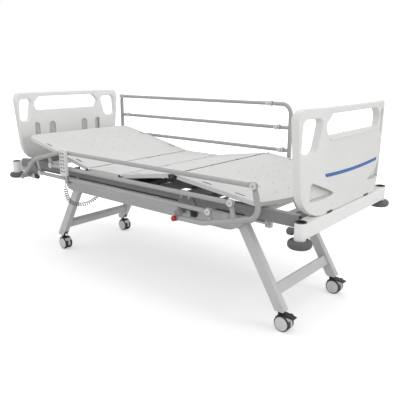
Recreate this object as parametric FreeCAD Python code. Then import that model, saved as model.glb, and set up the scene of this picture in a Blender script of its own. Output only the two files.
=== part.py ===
import FreeCAD, Part
import math
import os

from FreeCAD import Vector

# Electric hospital bed, millimetres.
# X runs from the head end (-) to the foot end (+), Y from the patient's right (-) to the left (+),
# Z is up from the floor. The origin is on the floor under the middle of the bed.

# Clearances
RUN = 0.05
GAP = 0.3

# Corners and the upper frame; every height follows the hinge line of the lying surface
HINGE_HEIGHT = 634.0
FRAME_TOP = HINGE_HEIGHT - 26.0
SOCKET_X = 1060.0
SOCKET_Y = 420.0
CROSSBAR_WIDTH = 48.0
CROSSBAR_TOP = FRAME_TOP - 18.0
CROSSBAR_LOW = CROSSBAR_TOP - 65.0
SOCKET_LOW, SOCKET_TOP = CROSSBAR_LOW - 7.0, CROSSBAR_TOP + 1.0
SOCKET_RADIUS = 25.0
SOCKET_BORE = 19.0
BUSH_BORE = 17.0
BUMPER_RADIUS, BUMPER_HEIGHT = 50.0, 34.0
SIDE_TUBE_Y = (365.0, 395.0)
SIDE_TUBE_Z = (FRAME_TOP - 52.0, FRAME_TOP)
CROSS_MEMBER_Z = (FRAME_TOP - 40.0, FRAME_TOP)
CROSS_MEMBER_WIDTH = 30.0
END_MEMBER_X = SOCKET_X - 75.0
CROSS_MEMBERS_X = (-END_MEMBER_X, -190.0, -95.0, 240.0, 420.0, END_MEMBER_X)
WALL = 2.5

# Leg channels under the side tubes
CHANNEL_Y = (300.0, 350.0)
CHANNEL_Z = (SIDE_TUBE_Z[0] - 126.0, SIDE_TUBE_Z[0] - 18.0)
CHANNEL_SHEET = 3.0
CHANNEL_END_RADIUS = 85.0
CHANNEL_OVERHANG = 62.0

# Lying surface
PLATFORM_TOP = HINGE_HEIGHT + 6.0
HALF_WIDTH = 420.0
SHEET = 2.5
LIP = 20.0
PANEL_GAP = 7.0
HINGE_PIN_RADIUS = 4.5
EYE_RADIUS = PANEL_GAP - 0.2
HINGE_PLATES_Y = (-286.0, -138.0, 132.0, 280.0)
HINGE_LUGS_Y = (-340.0, -150.0, 144.0, 334.0)
HINGE_PLATE = 6.0
BACK_HINGE_X = -285.0
THIGH_HINGE_X = -10.0
BACK_LENGTH = 640.0
THIGH_LENGTH = 378.0
CALF_LENGTH = 562.0
BACK_ANGLE = 12.0
THIGH_ANGLE = 8.3
CALF_ANGLE = 6.8
RAIL_TUBE = 25.0
UNDER_RAIL_Y = 230.0

# Legs and casters
LEG_PIVOT_Z = CHANNEL_Z[0] + 70.0
LEG_ANGLE = 31.0
CLEVIS_Z = 120.0
FOOT_STEM_X = 897.0
HEAD_STEM_X = -813.0
LEG_Y = 265.0
LEG_DEPTH, LEG_WIDTH = 50.0, 35.0
LEG_OFFSET = 8.0
LEG_END_Z = CLEVIS_Z - 28.0
KNUCKLE_RADIUS = 14.0
WHEEL_RADIUS = 40.0
WHEEL_TRAIL = 20.0
STEM_RADIUS = 5.5
CANOPY_RADIUS = 44.0

# Side rails: pin places are measured from a post's pivot with the rail raised
RAIL_Y = SIDE_TUBE_Y[1] + 60.0
RAIL_PIVOT_Z = SIDE_TUBE_Z[0] - 33.0
FOOT_PIVOT_X = 431.0
RAIL_SPAN = 1340.0
RAIL_SWING = 75.7
BAR_RADIUS = 11.0
POST_RADIUS = 12.5
PINS = {"top": (-81.0, 461.0), "middle": (-21.0, 324.0), "low": (9.0, 190.0)}
FOOT_POST_X = 59.0
HEAD_POST_X = -81.0
KNOB_PLACE = (24.0, -14.0)
PIVOT_STUD = 8.0
RAIL_PIN = 4.0
BOSS_HALF = 13.0

# End boards
BOARD_FACE_X = SOCKET_X + 20.0
BOARD_THICK = 36.0
BOARD_SWEEP = 43.0
BOARD_BOTTOM = CROSSBAR_TOP + GAP
BOARD_TOP = BOARD_BOTTOM + 441.7
FOOTBOARD_HALF = 442.0
HEADBOARD_HALF = 425.0
BOARD_FEET_Y = 196.0
SLOT_Z = (BOARD_TOP - 116.0, BOARD_TOP - 70.0, BOARD_TOP - 26.0)
GRIP_Z = (BOARD_TOP - 182.0, BOARD_TOP - 40.0)
STRIPE_HALF = 0.615 * FOOTBOARD_HALF
STRIPE_Z = BOARD_BOTTOM + 167.0

# Actuators
ROD_RADIUS = 10.0
BACK_LEVER, BACK_LEVER_ANGLE, BACK_DRIVE_Y = 110.0, 23.0, 60.0
KNEE_LEVER, KNEE_LEVER_ANGLE, KNEE_DRIVE_Y = 90.0, 8.7, -60.0
LIFT_ARM, LIFT_ARM_ANGLE = 100.0, 10.0
DRIVE_PIN = 6.0
LEVER_HALF = 16.0

# Handset and its cord
HANDSET_X = -432.0
HANDSET_Z = (FRAME_TOP - 23.0, FRAME_TOP + 132.0)
HANDSET_WIDTH = 56.0
HANDSET_Y = (-RAIL_Y - 37.0, -RAIL_Y - 17.0)
KEY_ROWS = 6
LEAD_RADIUS = 2.25
COIL_RADIUS = 13.0

ORIGIN = Vector(0, 0, 0)
AXIS_Y = Vector(0, 1, 0)
FOOT_LEG_X = FOOT_STEM_X - (LEG_PIVOT_Z - CLEVIS_Z) * math.tan(math.radians(LEG_ANGLE))
HEAD_LEG_X = HEAD_STEM_X + (LEG_PIVOT_Z - CLEVIS_Z) * math.tan(math.radians(LEG_ANGLE))
LEG_LENGTH = (LEG_PIVOT_Z - CLEVIS_Z) / math.cos(math.radians(LEG_ANGLE))
HEAD_PIVOT_X = FOOT_PIVOT_X - RAIL_SPAN


# Small helpers for solids

def box(x, y, z):
    return Part.makeBox(x[1] - x[0], y[1] - y[0], z[1] - z[0], Vector(x[0], y[0], z[0]))


def rod(radius, start, end):
    start, end = Vector(*start), Vector(*end)
    return Part.makeCylinder(radius, (end - start).Length, start, end - start)


def cross_pin(radius, x, z, y):
    """A round bar along Y between the two Y values."""
    return rod(radius, (x, min(y), z), (x, max(y), z))


def joined(shapes):
    first, rest = shapes[0], shapes[1:]
    return first.fuse(rest).removeSplitter() if rest else first


def box_tube(x, y, z, along):
    """A rectangular tube of WALL thickness, open at both ends of the named axis."""
    ranges = {"x": x, "y": y, "z": z}
    inner = {}
    for name, (low, high) in ranges.items():
        inner[name] = (low - 1, high + 1) if name == along else (low + WALL, high - WALL)
    return box(x, y, z).cut(box(inner["x"], inner["y"], inner["z"]))


def rounded_wire(points, radii, closed):
    """Straight runs through the points, joined by tangent arcs of the given radii."""
    points = [Vector(*p) for p in points]
    count = len(points)
    arcs = []
    for index, point in enumerate(points):
        radius = radii[index]
        if radius == 0 or (not closed and index in (0, count - 1)):
            arcs.append((point, None, point))
            continue
        before = (points[index - 1] - point).normalize()
        after = (points[(index + 1) % count] - point).normalize()
        half = before.getAngle(after) / 2
        reach = radius / math.tan(half)
        middle = (before + after).normalize() * (radius / math.sin(half) - radius)
        arcs.append((point + before * reach, point + middle, point + after * reach))
    edges = []
    for index, (start, middle, end) in enumerate(arcs):
        if middle is not None:
            edges.append(Part.Arc(start, middle, end).toShape())
        if index + 1 < count or closed:
            following = arcs[(index + 1) % count][0]
            if (following - end).Length > 1e-6:
                edges.append(Part.LineSegment(end, following).toShape())
    return Part.Wire(edges)


def prism(wire, direction):
    return Part.Face(wire).extrude(Vector(*direction))


def swept(wire, radius):
    """A round bar along a path of lines and arcs."""
    start = wire.Edges[0]
    place = start.valueAt(start.FirstParameter)
    along = start.tangentAt(start.FirstParameter)
    ring = Part.Wire([Part.makeCircle(radius, place, along)])
    return wire.makePipeShell([ring], True, False)


def turned(shape, angle, x, z):
    """Turned about the Y direction through (x, z); positive takes +X down."""
    copy = shape.copy()
    copy.rotate(Vector(x, 0, z), AXIS_Y, angle)
    return copy


def moved(shape, x, y, z):
    copy = shape.copy()
    copy.translate(Vector(x, y, z))
    return copy


def mirror_y(shape):
    return shape.mirror(ORIGIN, AXIS_Y)


def mirror_x(shape):
    return shape.mirror(ORIGIN, Vector(1, 0, 0))


def both_sides(shape):
    return [shape, mirror_y(shape)]


def export(name, shapes):
    shapes = shapes if isinstance(shapes, list) else [shapes]
    solids = [solid for shape in shapes for solid in shape.Solids]
    whole = solids[0] if len(solids) == 1 else Part.makeCompound(solids)
    whole.exportStep("parts/" + name + ".step")
    print(name, len(solids), round(sum(s.Volume for s in solids) / 1000, 1), "cm3", whole.isValid())


# Frame

def cross_member(x):
    half = CROSS_MEMBER_WIDTH / 2
    return box_tube((x - half, x + half), (-SIDE_TUBE_Y[0], SIDE_TUBE_Y[0]), CROSS_MEMBER_Z, "y")


def hinge_lug(x_hinge, x_base, y):
    """An upright plate that holds a hinge pin at the seat's edge."""
    low = CROSS_MEMBER_Z[1]
    reach = sorted((x_hinge, x_base))
    plate = box(reach, (y, y + 6), (low, HINGE_HEIGHT))
    foot = box((x_base - 8, x_base + 8), (y, y + 6), (low, low + 12))
    eye = cross_pin(EYE_RADIUS, x_hinge, HINGE_HEIGHT, (y, y + 6))
    pin_hole = cross_pin(HINGE_PIN_RADIUS, x_hinge, HINGE_HEIGHT, (y - 1, y + 7))
    return plate.fuse([foot, eye]).cut(pin_hole)


def bed_frame():
    ends = SOCKET_X - CROSSBAR_WIDTH / 2
    pieces = both_sides(box_tube((-ends, ends), SIDE_TUBE_Y, SIDE_TUBE_Z, "x"))
    pieces += [cross_member(x) for x in CROSS_MEMBERS_X]
    seat_low, seat_high = CROSS_MEMBER_Z[1], PLATFORM_TOP - SHEET
    back_base, thigh_base = CROSS_MEMBERS_X[1:3]
    for x in (back_base, thigh_base):
        pieces.append(box_tube((x - 10, x + 10), (-340.0, 340.0), (seat_low, seat_high), "y"))
    for y in HINGE_LUGS_Y:
        pieces.append(hinge_lug(BACK_HINGE_X, back_base - 10, y))
        pieces.append(hinge_lug(THIGH_HINGE_X, thigh_base + 10, y))
    return joined(pieces)


def hinge_pins():
    """Two pins beside the seat, each with a black cap on its ends."""
    pieces = []
    for x in (BACK_HINGE_X, THIGH_HINGE_X):
        pin = cross_pin(HINGE_PIN_RADIUS, x, HINGE_HEIGHT, (-HALF_WIDTH, HALF_WIDTH))
        caps = both_sides(cross_pin(11.0, x, HINGE_HEIGHT - 4, (HALF_WIDTH + GAP, HALF_WIDTH + 10)))
        necks = both_sides(cross_pin(HINGE_PIN_RADIUS, x, HINGE_HEIGHT, (HALF_WIDTH, HALF_WIDTH + 2)))
        pieces.append(joined([pin] + caps + necks))
    return pieces


def channel():
    """One deep channel that carries the legs, open towards the middle of the bed."""
    low, high = HEAD_LEG_X - CHANNEL_OVERHANG, FOOT_LEG_X + CHANNEL_OVERHANG
    y = CHANNEL_Y[0]
    outline = [(low, y, CHANNEL_Z[1]), (high, y, CHANNEL_Z[1]),
               (high, y, CHANNEL_Z[0]), (low, y, CHANNEL_Z[0])]
    radii = [0, 0, CHANNEL_END_RADIUS, CHANNEL_END_RADIUS]
    depth = CHANNEL_Y[1] - y
    outer = prism(rounded_wire(outline, radii, True), (0, depth, 0))
    sheet = CHANNEL_SHEET
    inner_low, inner_high = CHANNEL_Z[0] + sheet, CHANNEL_Z[1] - sheet
    inner_outline = [(low + sheet, y, inner_high), (high - sheet, y, inner_high),
                     (high - sheet, y, inner_low), (low + sheet, y, inner_low)]
    inner_radii = [0, 0, CHANNEL_END_RADIUS - sheet, CHANNEL_END_RADIUS - sheet]
    inner = prism(rounded_wire(inner_outline, inner_radii, True), (0, depth - sheet, 0))
    pieces = [outer.cut(inner)]
    for x in (HEAD_LEG_X, FOOT_LEG_X):
        pieces.append(box((x - 40, x + 40), (y, y + 8), (CHANNEL_Z[0] + 2, CHANNEL_Z[1] - 2)))
    for x in (HEAD_LEG_X + 55, -230.0, 200.0, FOOT_LEG_X - 55):
        web = box((x - 4, x + 4), (y + 4, CHANNEL_Y[1] - 1), (CHANNEL_Z[0] + 20, CHANNEL_Z[1]))
        hanger = box((x - 4, x + 4), (y + 4, SIDE_TUBE_Y[0]), (inner_high, FRAME_TOP - 6))
        pieces += [web, hanger]
    body = joined(pieces)
    for x in (HEAD_LEG_X, FOOT_LEG_X):
        body = body.cut(cross_pin(10 + RUN, x, LEG_PIVOT_Z, (y - 1, y + 9)))
    return body


def crossbar():
    half = CROSSBAR_WIDTH / 2
    beam_end = SOCKET_Y - 5
    beam = box_tube((SOCKET_X - half, SOCKET_X + half), (-beam_end, beam_end),
                    (CROSSBAR_LOW, CROSSBAR_TOP), "y")
    sockets = []
    for y in (-SOCKET_Y, SOCKET_Y):
        sockets.append(rod(SOCKET_RADIUS, (SOCKET_X, y, SOCKET_LOW), (SOCKET_X, y, SOCKET_TOP)))
    body = joined([beam] + sockets)
    for y in (-SOCKET_Y, SOCKET_Y):
        body = body.cut(rod(SOCKET_BORE, (SOCKET_X, y, SOCKET_LOW - 1), (SOCKET_X, y, SOCKET_TOP + 1)))
    for y in (-BOARD_FEET_Y, BOARD_FEET_Y):
        slot = box((SOCKET_X - 7 - GAP, SOCKET_X + 7 + GAP), (y - 34 - GAP, y + 34 + GAP),
                   (CROSSBAR_TOP - 10, CROSSBAR_TOP + 1))
        body = body.cut(slot)
    return body


def socket_bush(x, y):
    sleeve = rod(SOCKET_BORE, (x, y, SOCKET_LOW), (x, y, SOCKET_TOP))
    flange = rod(SOCKET_RADIUS, (x, y, SOCKET_TOP), (x, y, SOCKET_TOP + 3))
    bore = rod(BUSH_BORE, (x, y, SOCKET_LOW - 1), (x, y, SOCKET_TOP + 4))
    return sleeve.fuse(flange).cut(bore)


def corner_bumper(x, y):
    low = SOCKET_LOW - BUMPER_HEIGHT
    disc = rod(BUMPER_RADIUS, (x, y, low), (x, y, SOCKET_LOW))
    rims = [e for e in disc.Edges if e.Curve.TypeId == "Part::GeomCircle"]
    return disc.makeFillet(BUMPER_HEIGHT * 0.42, rims)


def corner_knob(y):
    """A rubber knob on the inner side of a foot socket."""
    face = SOCKET_X - SOCKET_RADIUS + 2
    z = SOCKET_LOW + 28
    knob = rod(16.0, (face - 36, y, z), (face - 5, y, z))
    rims = [e for e in knob.Edges if e.Curve.TypeId == "Part::GeomCircle"]
    knob = knob.makeChamfer(6, rims)
    neck = rod(8.0, (face - 8, y, z), (face + 5, y, z))
    socket = rod(SOCKET_RADIUS, (SOCKET_X, y, SOCKET_LOW), (SOCKET_X, y, SOCKET_TOP))
    beam_half = CROSSBAR_WIDTH / 2
    beam = box((SOCKET_X - beam_half, SOCKET_X + beam_half), (-SOCKET_Y + 5, SOCKET_Y - 5),
               (CROSSBAR_LOW, CROSSBAR_TOP))
    return knob.fuse(neck).cut([socket, beam])


def rail_bracket(x):
    """A plate on the side tube with the stud that a rail post turns on."""
    outer = SIDE_TUBE_Y[1]
    z = RAIL_PIVOT_Z
    outline = [(x - 54, outer, z - 28), (x + 76, outer, z - 28), (x + 76, outer, z + 20),
               (x + 36, outer, FRAME_TOP - 8), (x - 36, outer, FRAME_TOP - 8), (x - 54, outer, z + 20)]
    plate = prism(rounded_wire(outline, [14, 20, 8, 6, 6, 8], True), (0, 8, 0))
    stud = cross_pin(PIVOT_STUD, x, z, (outer + 4, RAIL_Y + BOSS_HALF + 3))
    shoulder = cross_pin(13.0, x, z, (outer + 4, RAIL_Y - BOSS_HALF - GAP))
    head = cross_pin(12.0, x, z, (RAIL_Y + BOSS_HALF + GAP, RAIL_Y + BOSS_HALF + 3))
    return joined([plate, stud, shoulder, head])


# Lying surface

def tray(outline, radii):
    """A pressed sheet with lips turned down all round, its top above the hinge line."""
    top = PLATFORM_TOP - HINGE_HEIGHT
    low = top - LIP
    wire = rounded_wire([(x, y, low) for x, y in outline], radii, True)
    outer = prism(wire, (0, 0, LIP))
    inset_wire = wire.makeOffset2D(-2.0)
    inner = prism(inset_wire, (0, 0, LIP - SHEET))
    return outer.cut(inner)


def vents(columns, rows):
    top = PLATFORM_TOP - HINGE_HEIGHT
    return [rod(4.0, (x, y, top - 6), (x, y, top + 2)) for x in columns for y in rows]


def edge_slots(places):
    """Long slots beside both edges for a strap."""
    top = PLATFORM_TOP - HINGE_HEIGHT
    slots = []
    for x in places:
        for y in (-HALF_WIDTH + 30, HALF_WIDTH - 30):
            wire = rounded_wire([(x - 28, y - 5, top - 6), (x + 28, y - 5, top - 6),
                                 (x + 28, y + 5, top - 6), (x - 28, y + 5, top - 6)], [4.9] * 4, True)
            slots.append(prism(wire, (0, 0, 8)))
    return slots


def lip_notches(edge, places, wide):
    """Gaps in a panel's lip at an edge for the hinge plates and levers that pass it."""
    top = PLATFORM_TOP - HINGE_HEIGHT
    return [box((edge - 3, edge + 3), (y - 1, y + wide + 1), (top - LIP - 1, top - SHEET)) for y in places]


def place_back(shape):
    return moved(turned(shape, BACK_ANGLE, 0, 0), BACK_HINGE_X, 0, HINGE_HEIGHT)


def place_thigh(shape):
    return moved(turned(shape, -THIGH_ANGLE, 0, 0), THIGH_HINGE_X, 0, HINGE_HEIGHT)


def knee_line():
    angle = math.radians(THIGH_ANGLE)
    return (THIGH_HINGE_X + THIGH_LENGTH * math.cos(angle), HINGE_HEIGHT + THIGH_LENGTH * math.sin(angle))


def place_calf(shape):
    x, z = knee_line()
    return moved(turned(shape, CALF_ANGLE, 0, 0), x, 0, z)


def back_panel():
    w = HALF_WIDTH
    outline = [(-PANEL_GAP, -w), (-PANEL_GAP, w), (-BACK_LENGTH, w - 8), (-BACK_LENGTH, -w + 8)]
    sheet = tray(outline, [12, 12, 60, 60])
    holes = vents((-520, -420, -330, -240), (-150, -50, 50, 150, 250)) + edge_slots((-130, -430))
    notches = lip_notches(-PANEL_GAP - 1, HINGE_PLATES_Y, HINGE_PLATE)
    notches += lip_notches(-PANEL_GAP - 1, [BACK_DRIVE_Y - LEVER_HALF], 2 * LEVER_HALF)
    return place_back(sheet.cut(holes + notches))


def seat_panel():
    w = HALF_WIDTH
    low, high = BACK_HINGE_X + PANEL_GAP, THIGH_HINGE_X - PANEL_GAP
    sheet = tray([(low, -w), (high, -w), (high, w), (low, w)], [10] * 4)
    body = moved(sheet, 0, 0, HINGE_HEIGHT)
    notches = []
    for edge, drive_y in ((low, BACK_DRIVE_Y), (high, KNEE_DRIVE_Y)):
        notches += lip_notches(edge, HINGE_LUGS_Y, HINGE_PLATE)
        notches += lip_notches(edge, [drive_y - LEVER_HALF], 2 * LEVER_HALF)
    return body.cut([moved(notch, 0, 0, HINGE_HEIGHT) for notch in notches])


def thigh_panel():
    w = HALF_WIDTH
    end = THIGH_LENGTH - PANEL_GAP
    sheet = tray([(PANEL_GAP, -w), (end, -w), (end, w), (PANEL_GAP, w)], [10] * 4)
    open_lip = box((end - 22, end + 1), (-w - 1, w + 1), (-LIP, PLATFORM_TOP - HINGE_HEIGHT - SHEET))
    holes = edge_slots((90,))
    notches = lip_notches(PANEL_GAP + 1, HINGE_PLATES_Y, HINGE_PLATE)
    notches += lip_notches(PANEL_GAP + 1, [KNEE_DRIVE_Y - LEVER_HALF], 2 * LEVER_HALF)
    return place_thigh(sheet.cut([open_lip] + holes + notches))


def calf_panel():
    w = HALF_WIDTH
    straight = CALF_LENGTH - 70
    top = PLATFORM_TOP - HINGE_HEIGHT
    low = top - LIP

    def bowed(inset, z):
        y = w - inset
        start, end = PANEL_GAP + (inset if inset else 0), straight
        bow = Part.Arc(Vector(end, y, z), Vector(CALF_LENGTH - inset, 0, z), Vector(end, -y, z))
        return Part.Wire([
            Part.LineSegment(Vector(start, -y, z), Vector(start, y, z)).toShape(),
            Part.LineSegment(Vector(start, y, z), Vector(end, y, z)).toShape(),
            bow.toShape(),
            Part.LineSegment(Vector(end, -y, z), Vector(start, -y, z)).toShape(),
        ])

    outer = prism(bowed(0.0, low), (0, 0, LIP))
    uprights = [e for e in outer.Edges if abs(e.Vertexes[0].Z - e.Vertexes[-1].Z) > LIP - 1
                and e.Vertexes[0].X > straight - 1]
    outer = outer.makeFillet(40.0, uprights)
    inner = prism(bowed(2.0, low), (0, 0, LIP - SHEET))
    corners = [e for e in inner.Edges if abs(e.Vertexes[0].Z - e.Vertexes[-1].Z) > LIP - SHEET - 1
               and e.Vertexes[0].X > straight - 1]
    inner = inner.makeFillet(38.0, corners)
    sheet = outer.cut(inner)
    open_lip = box((0, 29), (-w - 1, w + 1), (-LIP, top - SHEET))
    holes = vents((170, 270, 370, 460), (-220, -110, 0, 110, 220)) + edge_slots((190, 380))
    return place_calf(sheet.cut([open_lip] + holes))


def under_frame(start, end, cross_places, hinge_places):
    """Two long tubes with cross tubes under a panel, hinged at x = 0."""
    top = PLATFORM_TOP - HINGE_HEIGHT - SHEET
    z = (top - RAIL_TUBE, top)
    pieces = []
    for y in (-UNDER_RAIL_Y, UNDER_RAIL_Y):
        pieces.append(box_tube((start, end), (y - RAIL_TUBE / 2, y + RAIL_TUBE / 2), z, "x"))
    for x in cross_places:
        pieces.append(box_tube((x - 12, x + 12), (-UNDER_RAIL_Y - 60, UNDER_RAIL_Y + 60), z, "y"))
    inner_end = min((start, end), key=abs)
    for y in hinge_places:
        reach = sorted((0.0, inner_end + math.copysign(14.0, inner_end)))
        plate = box(reach, (y, y + 6), (top - 14, top - 2))
        eye = cross_pin(EYE_RADIUS, 0, 0, (y, y + 6))
        pieces.append(joined([plate, eye]))
    body = joined(pieces)
    return body.cut(cross_pin(HINGE_PIN_RADIUS + RUN, 0, 0, (-UNDER_RAIL_Y - 70, UNDER_RAIL_Y + 70)))


def drive_lever(length, angle, y):
    """A plate lever below a hinge with a pin through its lower end; the angle leans it to +X."""
    plate = [(-6, 0), (6, 0), (14, -30), (10, -length), (-10, -length), (-14, -30)]
    wire = rounded_wire([(x, y - LEVER_HALF, z) for x, z in plate], [0, 0, 8, 9, 9, 8], True)
    side = prism(wire, (0, HINGE_PLATE, 0))
    inner = LEVER_HALF - HINGE_PLATE
    hub = cross_pin(EYE_RADIUS, 0, 0, (y - LEVER_HALF, y + LEVER_HALF))
    pin = cross_pin(DRIVE_PIN, 0, -length, (y - LEVER_HALF, y + LEVER_HALF))
    lever = joined([side, moved(side, 0, LEVER_HALF + inner, 0), hub, pin])
    end_bosses = [cross_pin(11.0, 0, -length, (y - LEVER_HALF, y - inner)),
                  cross_pin(11.0, 0, -length, (y + inner, y + LEVER_HALF))]
    lever = joined([lever] + end_bosses)
    lever = lever.cut(cross_pin(HINGE_PIN_RADIUS + RUN, 0, 0, (y - 20, y + 20)))
    return turned(lever, -angle, 0, 0)


def back_frame():
    start, end = -BACK_LENGTH + 60, -26.0
    frame = under_frame(start, end, (-BACK_LENGTH + 90, -330.0, -40.0), HINGE_PLATES_Y)
    lever = turned(drive_lever(BACK_LEVER, BACK_LEVER_ANGLE, BACK_DRIVE_Y), -BACK_ANGLE, 0, 0)
    brace = box((-50, -4), (BACK_DRIVE_Y - 16, BACK_DRIVE_Y - 10), (-16, -4))
    other = box((-50, -4), (BACK_DRIVE_Y + 10, BACK_DRIVE_Y + 16), (-16, -4))
    bore = cross_pin(HINGE_PIN_RADIUS + RUN, 0, 0, (BACK_DRIVE_Y - 20, BACK_DRIVE_Y + 20))
    return place_back(joined([frame, lever, brace.cut(bore), other.cut(bore)]))


def thigh_frame():
    start, end = 26.0, THIGH_LENGTH - 24
    frame = under_frame(start, end, (40.0, THIGH_LENGTH - 40), HINGE_PLATES_Y)
    lever = turned(drive_lever(KNEE_LEVER, -KNEE_LEVER_ANGLE, KNEE_DRIVE_Y), THIGH_ANGLE, 0, 0)
    bore = cross_pin(HINGE_PIN_RADIUS + RUN, 0, 0, (KNEE_DRIVE_Y - 20, KNEE_DRIVE_Y + 20))
    braces = []
    for y in (KNEE_DRIVE_Y - 16, KNEE_DRIVE_Y + 10):
        braces.append(box((4, 50), (y, y + 6), (-16, -4)).cut(bore))
    knee = THIGH_LENGTH
    pin = cross_pin(HINGE_PIN_RADIUS, knee, 0, (-HALF_WIDTH - 2, HALF_WIDTH + 2))
    caps = both_sides(cross_pin(10.0, knee, -4, (HALF_WIDTH + GAP, HALF_WIDTH + 10)))
    lugs = []
    for y in (-300.0, -120.0, 114.0, 294.0):
        plate = box((knee - 52, knee), (y, y + 6), (-10.0, 1.0))
        lugs.append(plate.fuse(cross_pin(EYE_RADIUS, knee, 0, (y, y + 6))))
    wings = [box((knee - 52, knee - 28), (y, y + 70), (-10, 1)) for y in (-300.0, 230.0)]
    return place_thigh(joined([frame, lever, pin] + braces + caps + lugs + wings))


def calf_frame():
    start, end = 28.0, CALF_LENGTH - 60
    hinges = (-290.0, -110.0, 104.0, 284.0)
    frame = under_frame(start, end, (42.0, 300.0, CALF_LENGTH - 84), hinges)
    return place_calf(frame)


# Legs and casters

def leg_frame():
    """The foot-end leg pair, its pivot shaft and its drive arm; the head-end pair mirrors it."""
    inner, outer = LEG_Y - LEG_WIDTH / 2, LEG_Y + LEG_WIDTH / 2
    left, right = -LEG_OFFSET - LEG_DEPTH / 2, -LEG_OFFSET + LEG_DEPTH / 2
    end = -LEG_LENGTH - 40
    tube = box_tube((left, right), (inner, outer), (end, 18), "z")
    cap = box((left, right), (inner, outer), (18 - WALL, 18))
    fork_gap = box((left - 1, right - WALL), (inner + WALL, outer - WALL), (end - 1, -LEG_LENGTH + 22))
    tube = tube.fuse(cap).cut(fork_gap)
    trim = box((left - 30, right + 30), (inner - 1, outer + 1), (end - 1, -LEG_LENGTH - 4))
    trim = trim.cut(cross_pin(35.5, 0, -LEG_LENGTH, (inner - 2, outer + 2)))
    tube = tube.cut(trim)
    pin = cross_pin(DRIVE_PIN, 0, -LEG_LENGTH, (inner, outer + 3))
    pin_head = cross_pin(9.0, 0, -LEG_LENGTH, (outer, outer + 3))
    leg = joined([tube, pin, pin_head])
    leg = turned(leg, -LEG_ANGLE, 0, 0)
    below = box((-400, 400), (inner - 1, outer + 4), (-LEG_PIVOT_Z, LEG_END_Z - LEG_PIVOT_Z))
    leg = leg.cut(below)
    bar_low = -LEG_LENGTH + 45
    crossbar_half = inner + WALL / 2
    tie = box_tube((-LEG_OFFSET - 15, -LEG_OFFSET + 15), (-crossbar_half, crossbar_half),
                   (bar_low, bar_low + 50), "y")
    tie = turned(tie, -LEG_ANGLE, 0, 0)
    shaft = rod(20.0, (0, -inner - 1, 0), (0, inner + 1, 0)).cut(rod(17.0, (0, -inner + 6, 0), (0, inner - 6, 0)))
    journal = cross_pin(10.0, 0, 0, (inner, CHANNEL_Y[0] + 12))
    collar = cross_pin(15.0, 0, 0, (outer, CHANNEL_Y[0] - GAP))
    side = joined([leg, journal, collar])
    arm = drive_lever(LIFT_ARM, -LIFT_ARM_ANGLE, 0.0)
    arm = arm.cut(cross_pin(18.0, 0, 0, (-20, 20)))
    body = joined(both_sides(side) + [tie, shaft, arm])
    return moved(body, FOOT_LEG_X, 0, LEG_PIVOT_Z)


def at_head(shape):
    """The foot-end piece mirrored to the head end's leg pivot."""
    return moved(mirror_x(shape), FOOT_LEG_X + HEAD_LEG_X, 0, 0)


def carrier(y):
    """A knuckle in the leg's forked end that keeps its caster upright."""
    x = FOOT_STEM_X
    half = LEG_WIDTH / 2 - WALL - 0.2
    knuckle = cross_pin(KNUCKLE_RADIUS, x, CLEVIS_Z, (y - half, y + half))
    boss = rod(KNUCKLE_RADIUS - 2, (x, y, WHEEL_RADIUS + CANOPY_RADIUS + GAP), (x, y, CLEVIS_Z))
    body = knuckle.fuse(boss)
    body = body.cut(cross_pin(DRIVE_PIN + RUN, x, CLEVIS_Z, (y - half - 1, y + half + 1)))
    return body.cut(rod(STEM_RADIUS + RUN, (x, y, 80), (x, y, 109)))


def caster_fork(x_stem, y, braked):
    """The caster's housing: stem, hooded web between the two wheels and their axle."""
    x = x_stem + WHEEL_TRAIL
    z = WHEEL_RADIUS
    hood = cross_pin(CANOPY_RADIUS, x, z, (y - 22, y + 22))
    hood = hood.cut(cross_pin(WHEEL_RADIUS + 1.5, x, z, (y - 23, y + 23)))
    hood = hood.cut(box((x - 60, x + 60), (y - 30, y + 30), (-20, z + 22)))
    web = cross_pin(CANOPY_RADIUS - 1, x, z, (y - 6, y + 6))
    web = web.cut(box((x - 60, x + 60), (y - 30, y + 30), (-20, z - 12)))
    boss = rod(12.0, (x_stem, y, z + 20), (x_stem, y, z + CANOPY_RADIUS))
    boss = boss.cut(cross_pin(WHEEL_RADIUS + 1.5, x, z, (y + 6, y + 23)))
    boss = boss.cut(cross_pin(WHEEL_RADIUS + 1.5, x, z, (y - 23, y - 6)))
    stem = rod(STEM_RADIUS, (x_stem, y, z + CANOPY_RADIUS - 2), (x_stem, y, 107))
    axle = cross_pin(4.0, x, z, (y - 21, y + 21))
    pieces = [hood, web, boss, stem, axle]
    if braked:
        for side in (-1, 1):
            low = y + side * 18.5
            ear = box((x + 22, x + 36), (low - 1.5, low + 1.5), (z + 28, z + 45))
            ear = ear.cut(cross_pin(WHEEL_RADIUS + 1.5, x, z, (y - 23, y + 23)))
            pieces.append(ear)
        pieces.append(cross_pin(2.5, x + 31, z + 40, (y - 19, y + 19)))
    return joined(pieces)


def brake_pedal(x_stem, y):
    x = x_stem + WHEEL_TRAIL
    z = WHEEL_RADIUS
    hub = cross_pin(5.0, x + 31, z + 40, (y - 16.5, y + 16.5))
    outline = [(x + 30, y - 15, z + 36), (x + 58, y - 15, z + 33), (x + 60, y - 15, z + 38), (x + 30, y - 15, z + 45)]
    tread = prism(rounded_wire(outline, [0, 1.5, 1.5, 0], True), (0, 30, 0))
    return hub.fuse(tread).cut(cross_pin(2.5 + RUN, x + 31, z + 40, (y - 20, y + 20)))


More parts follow.
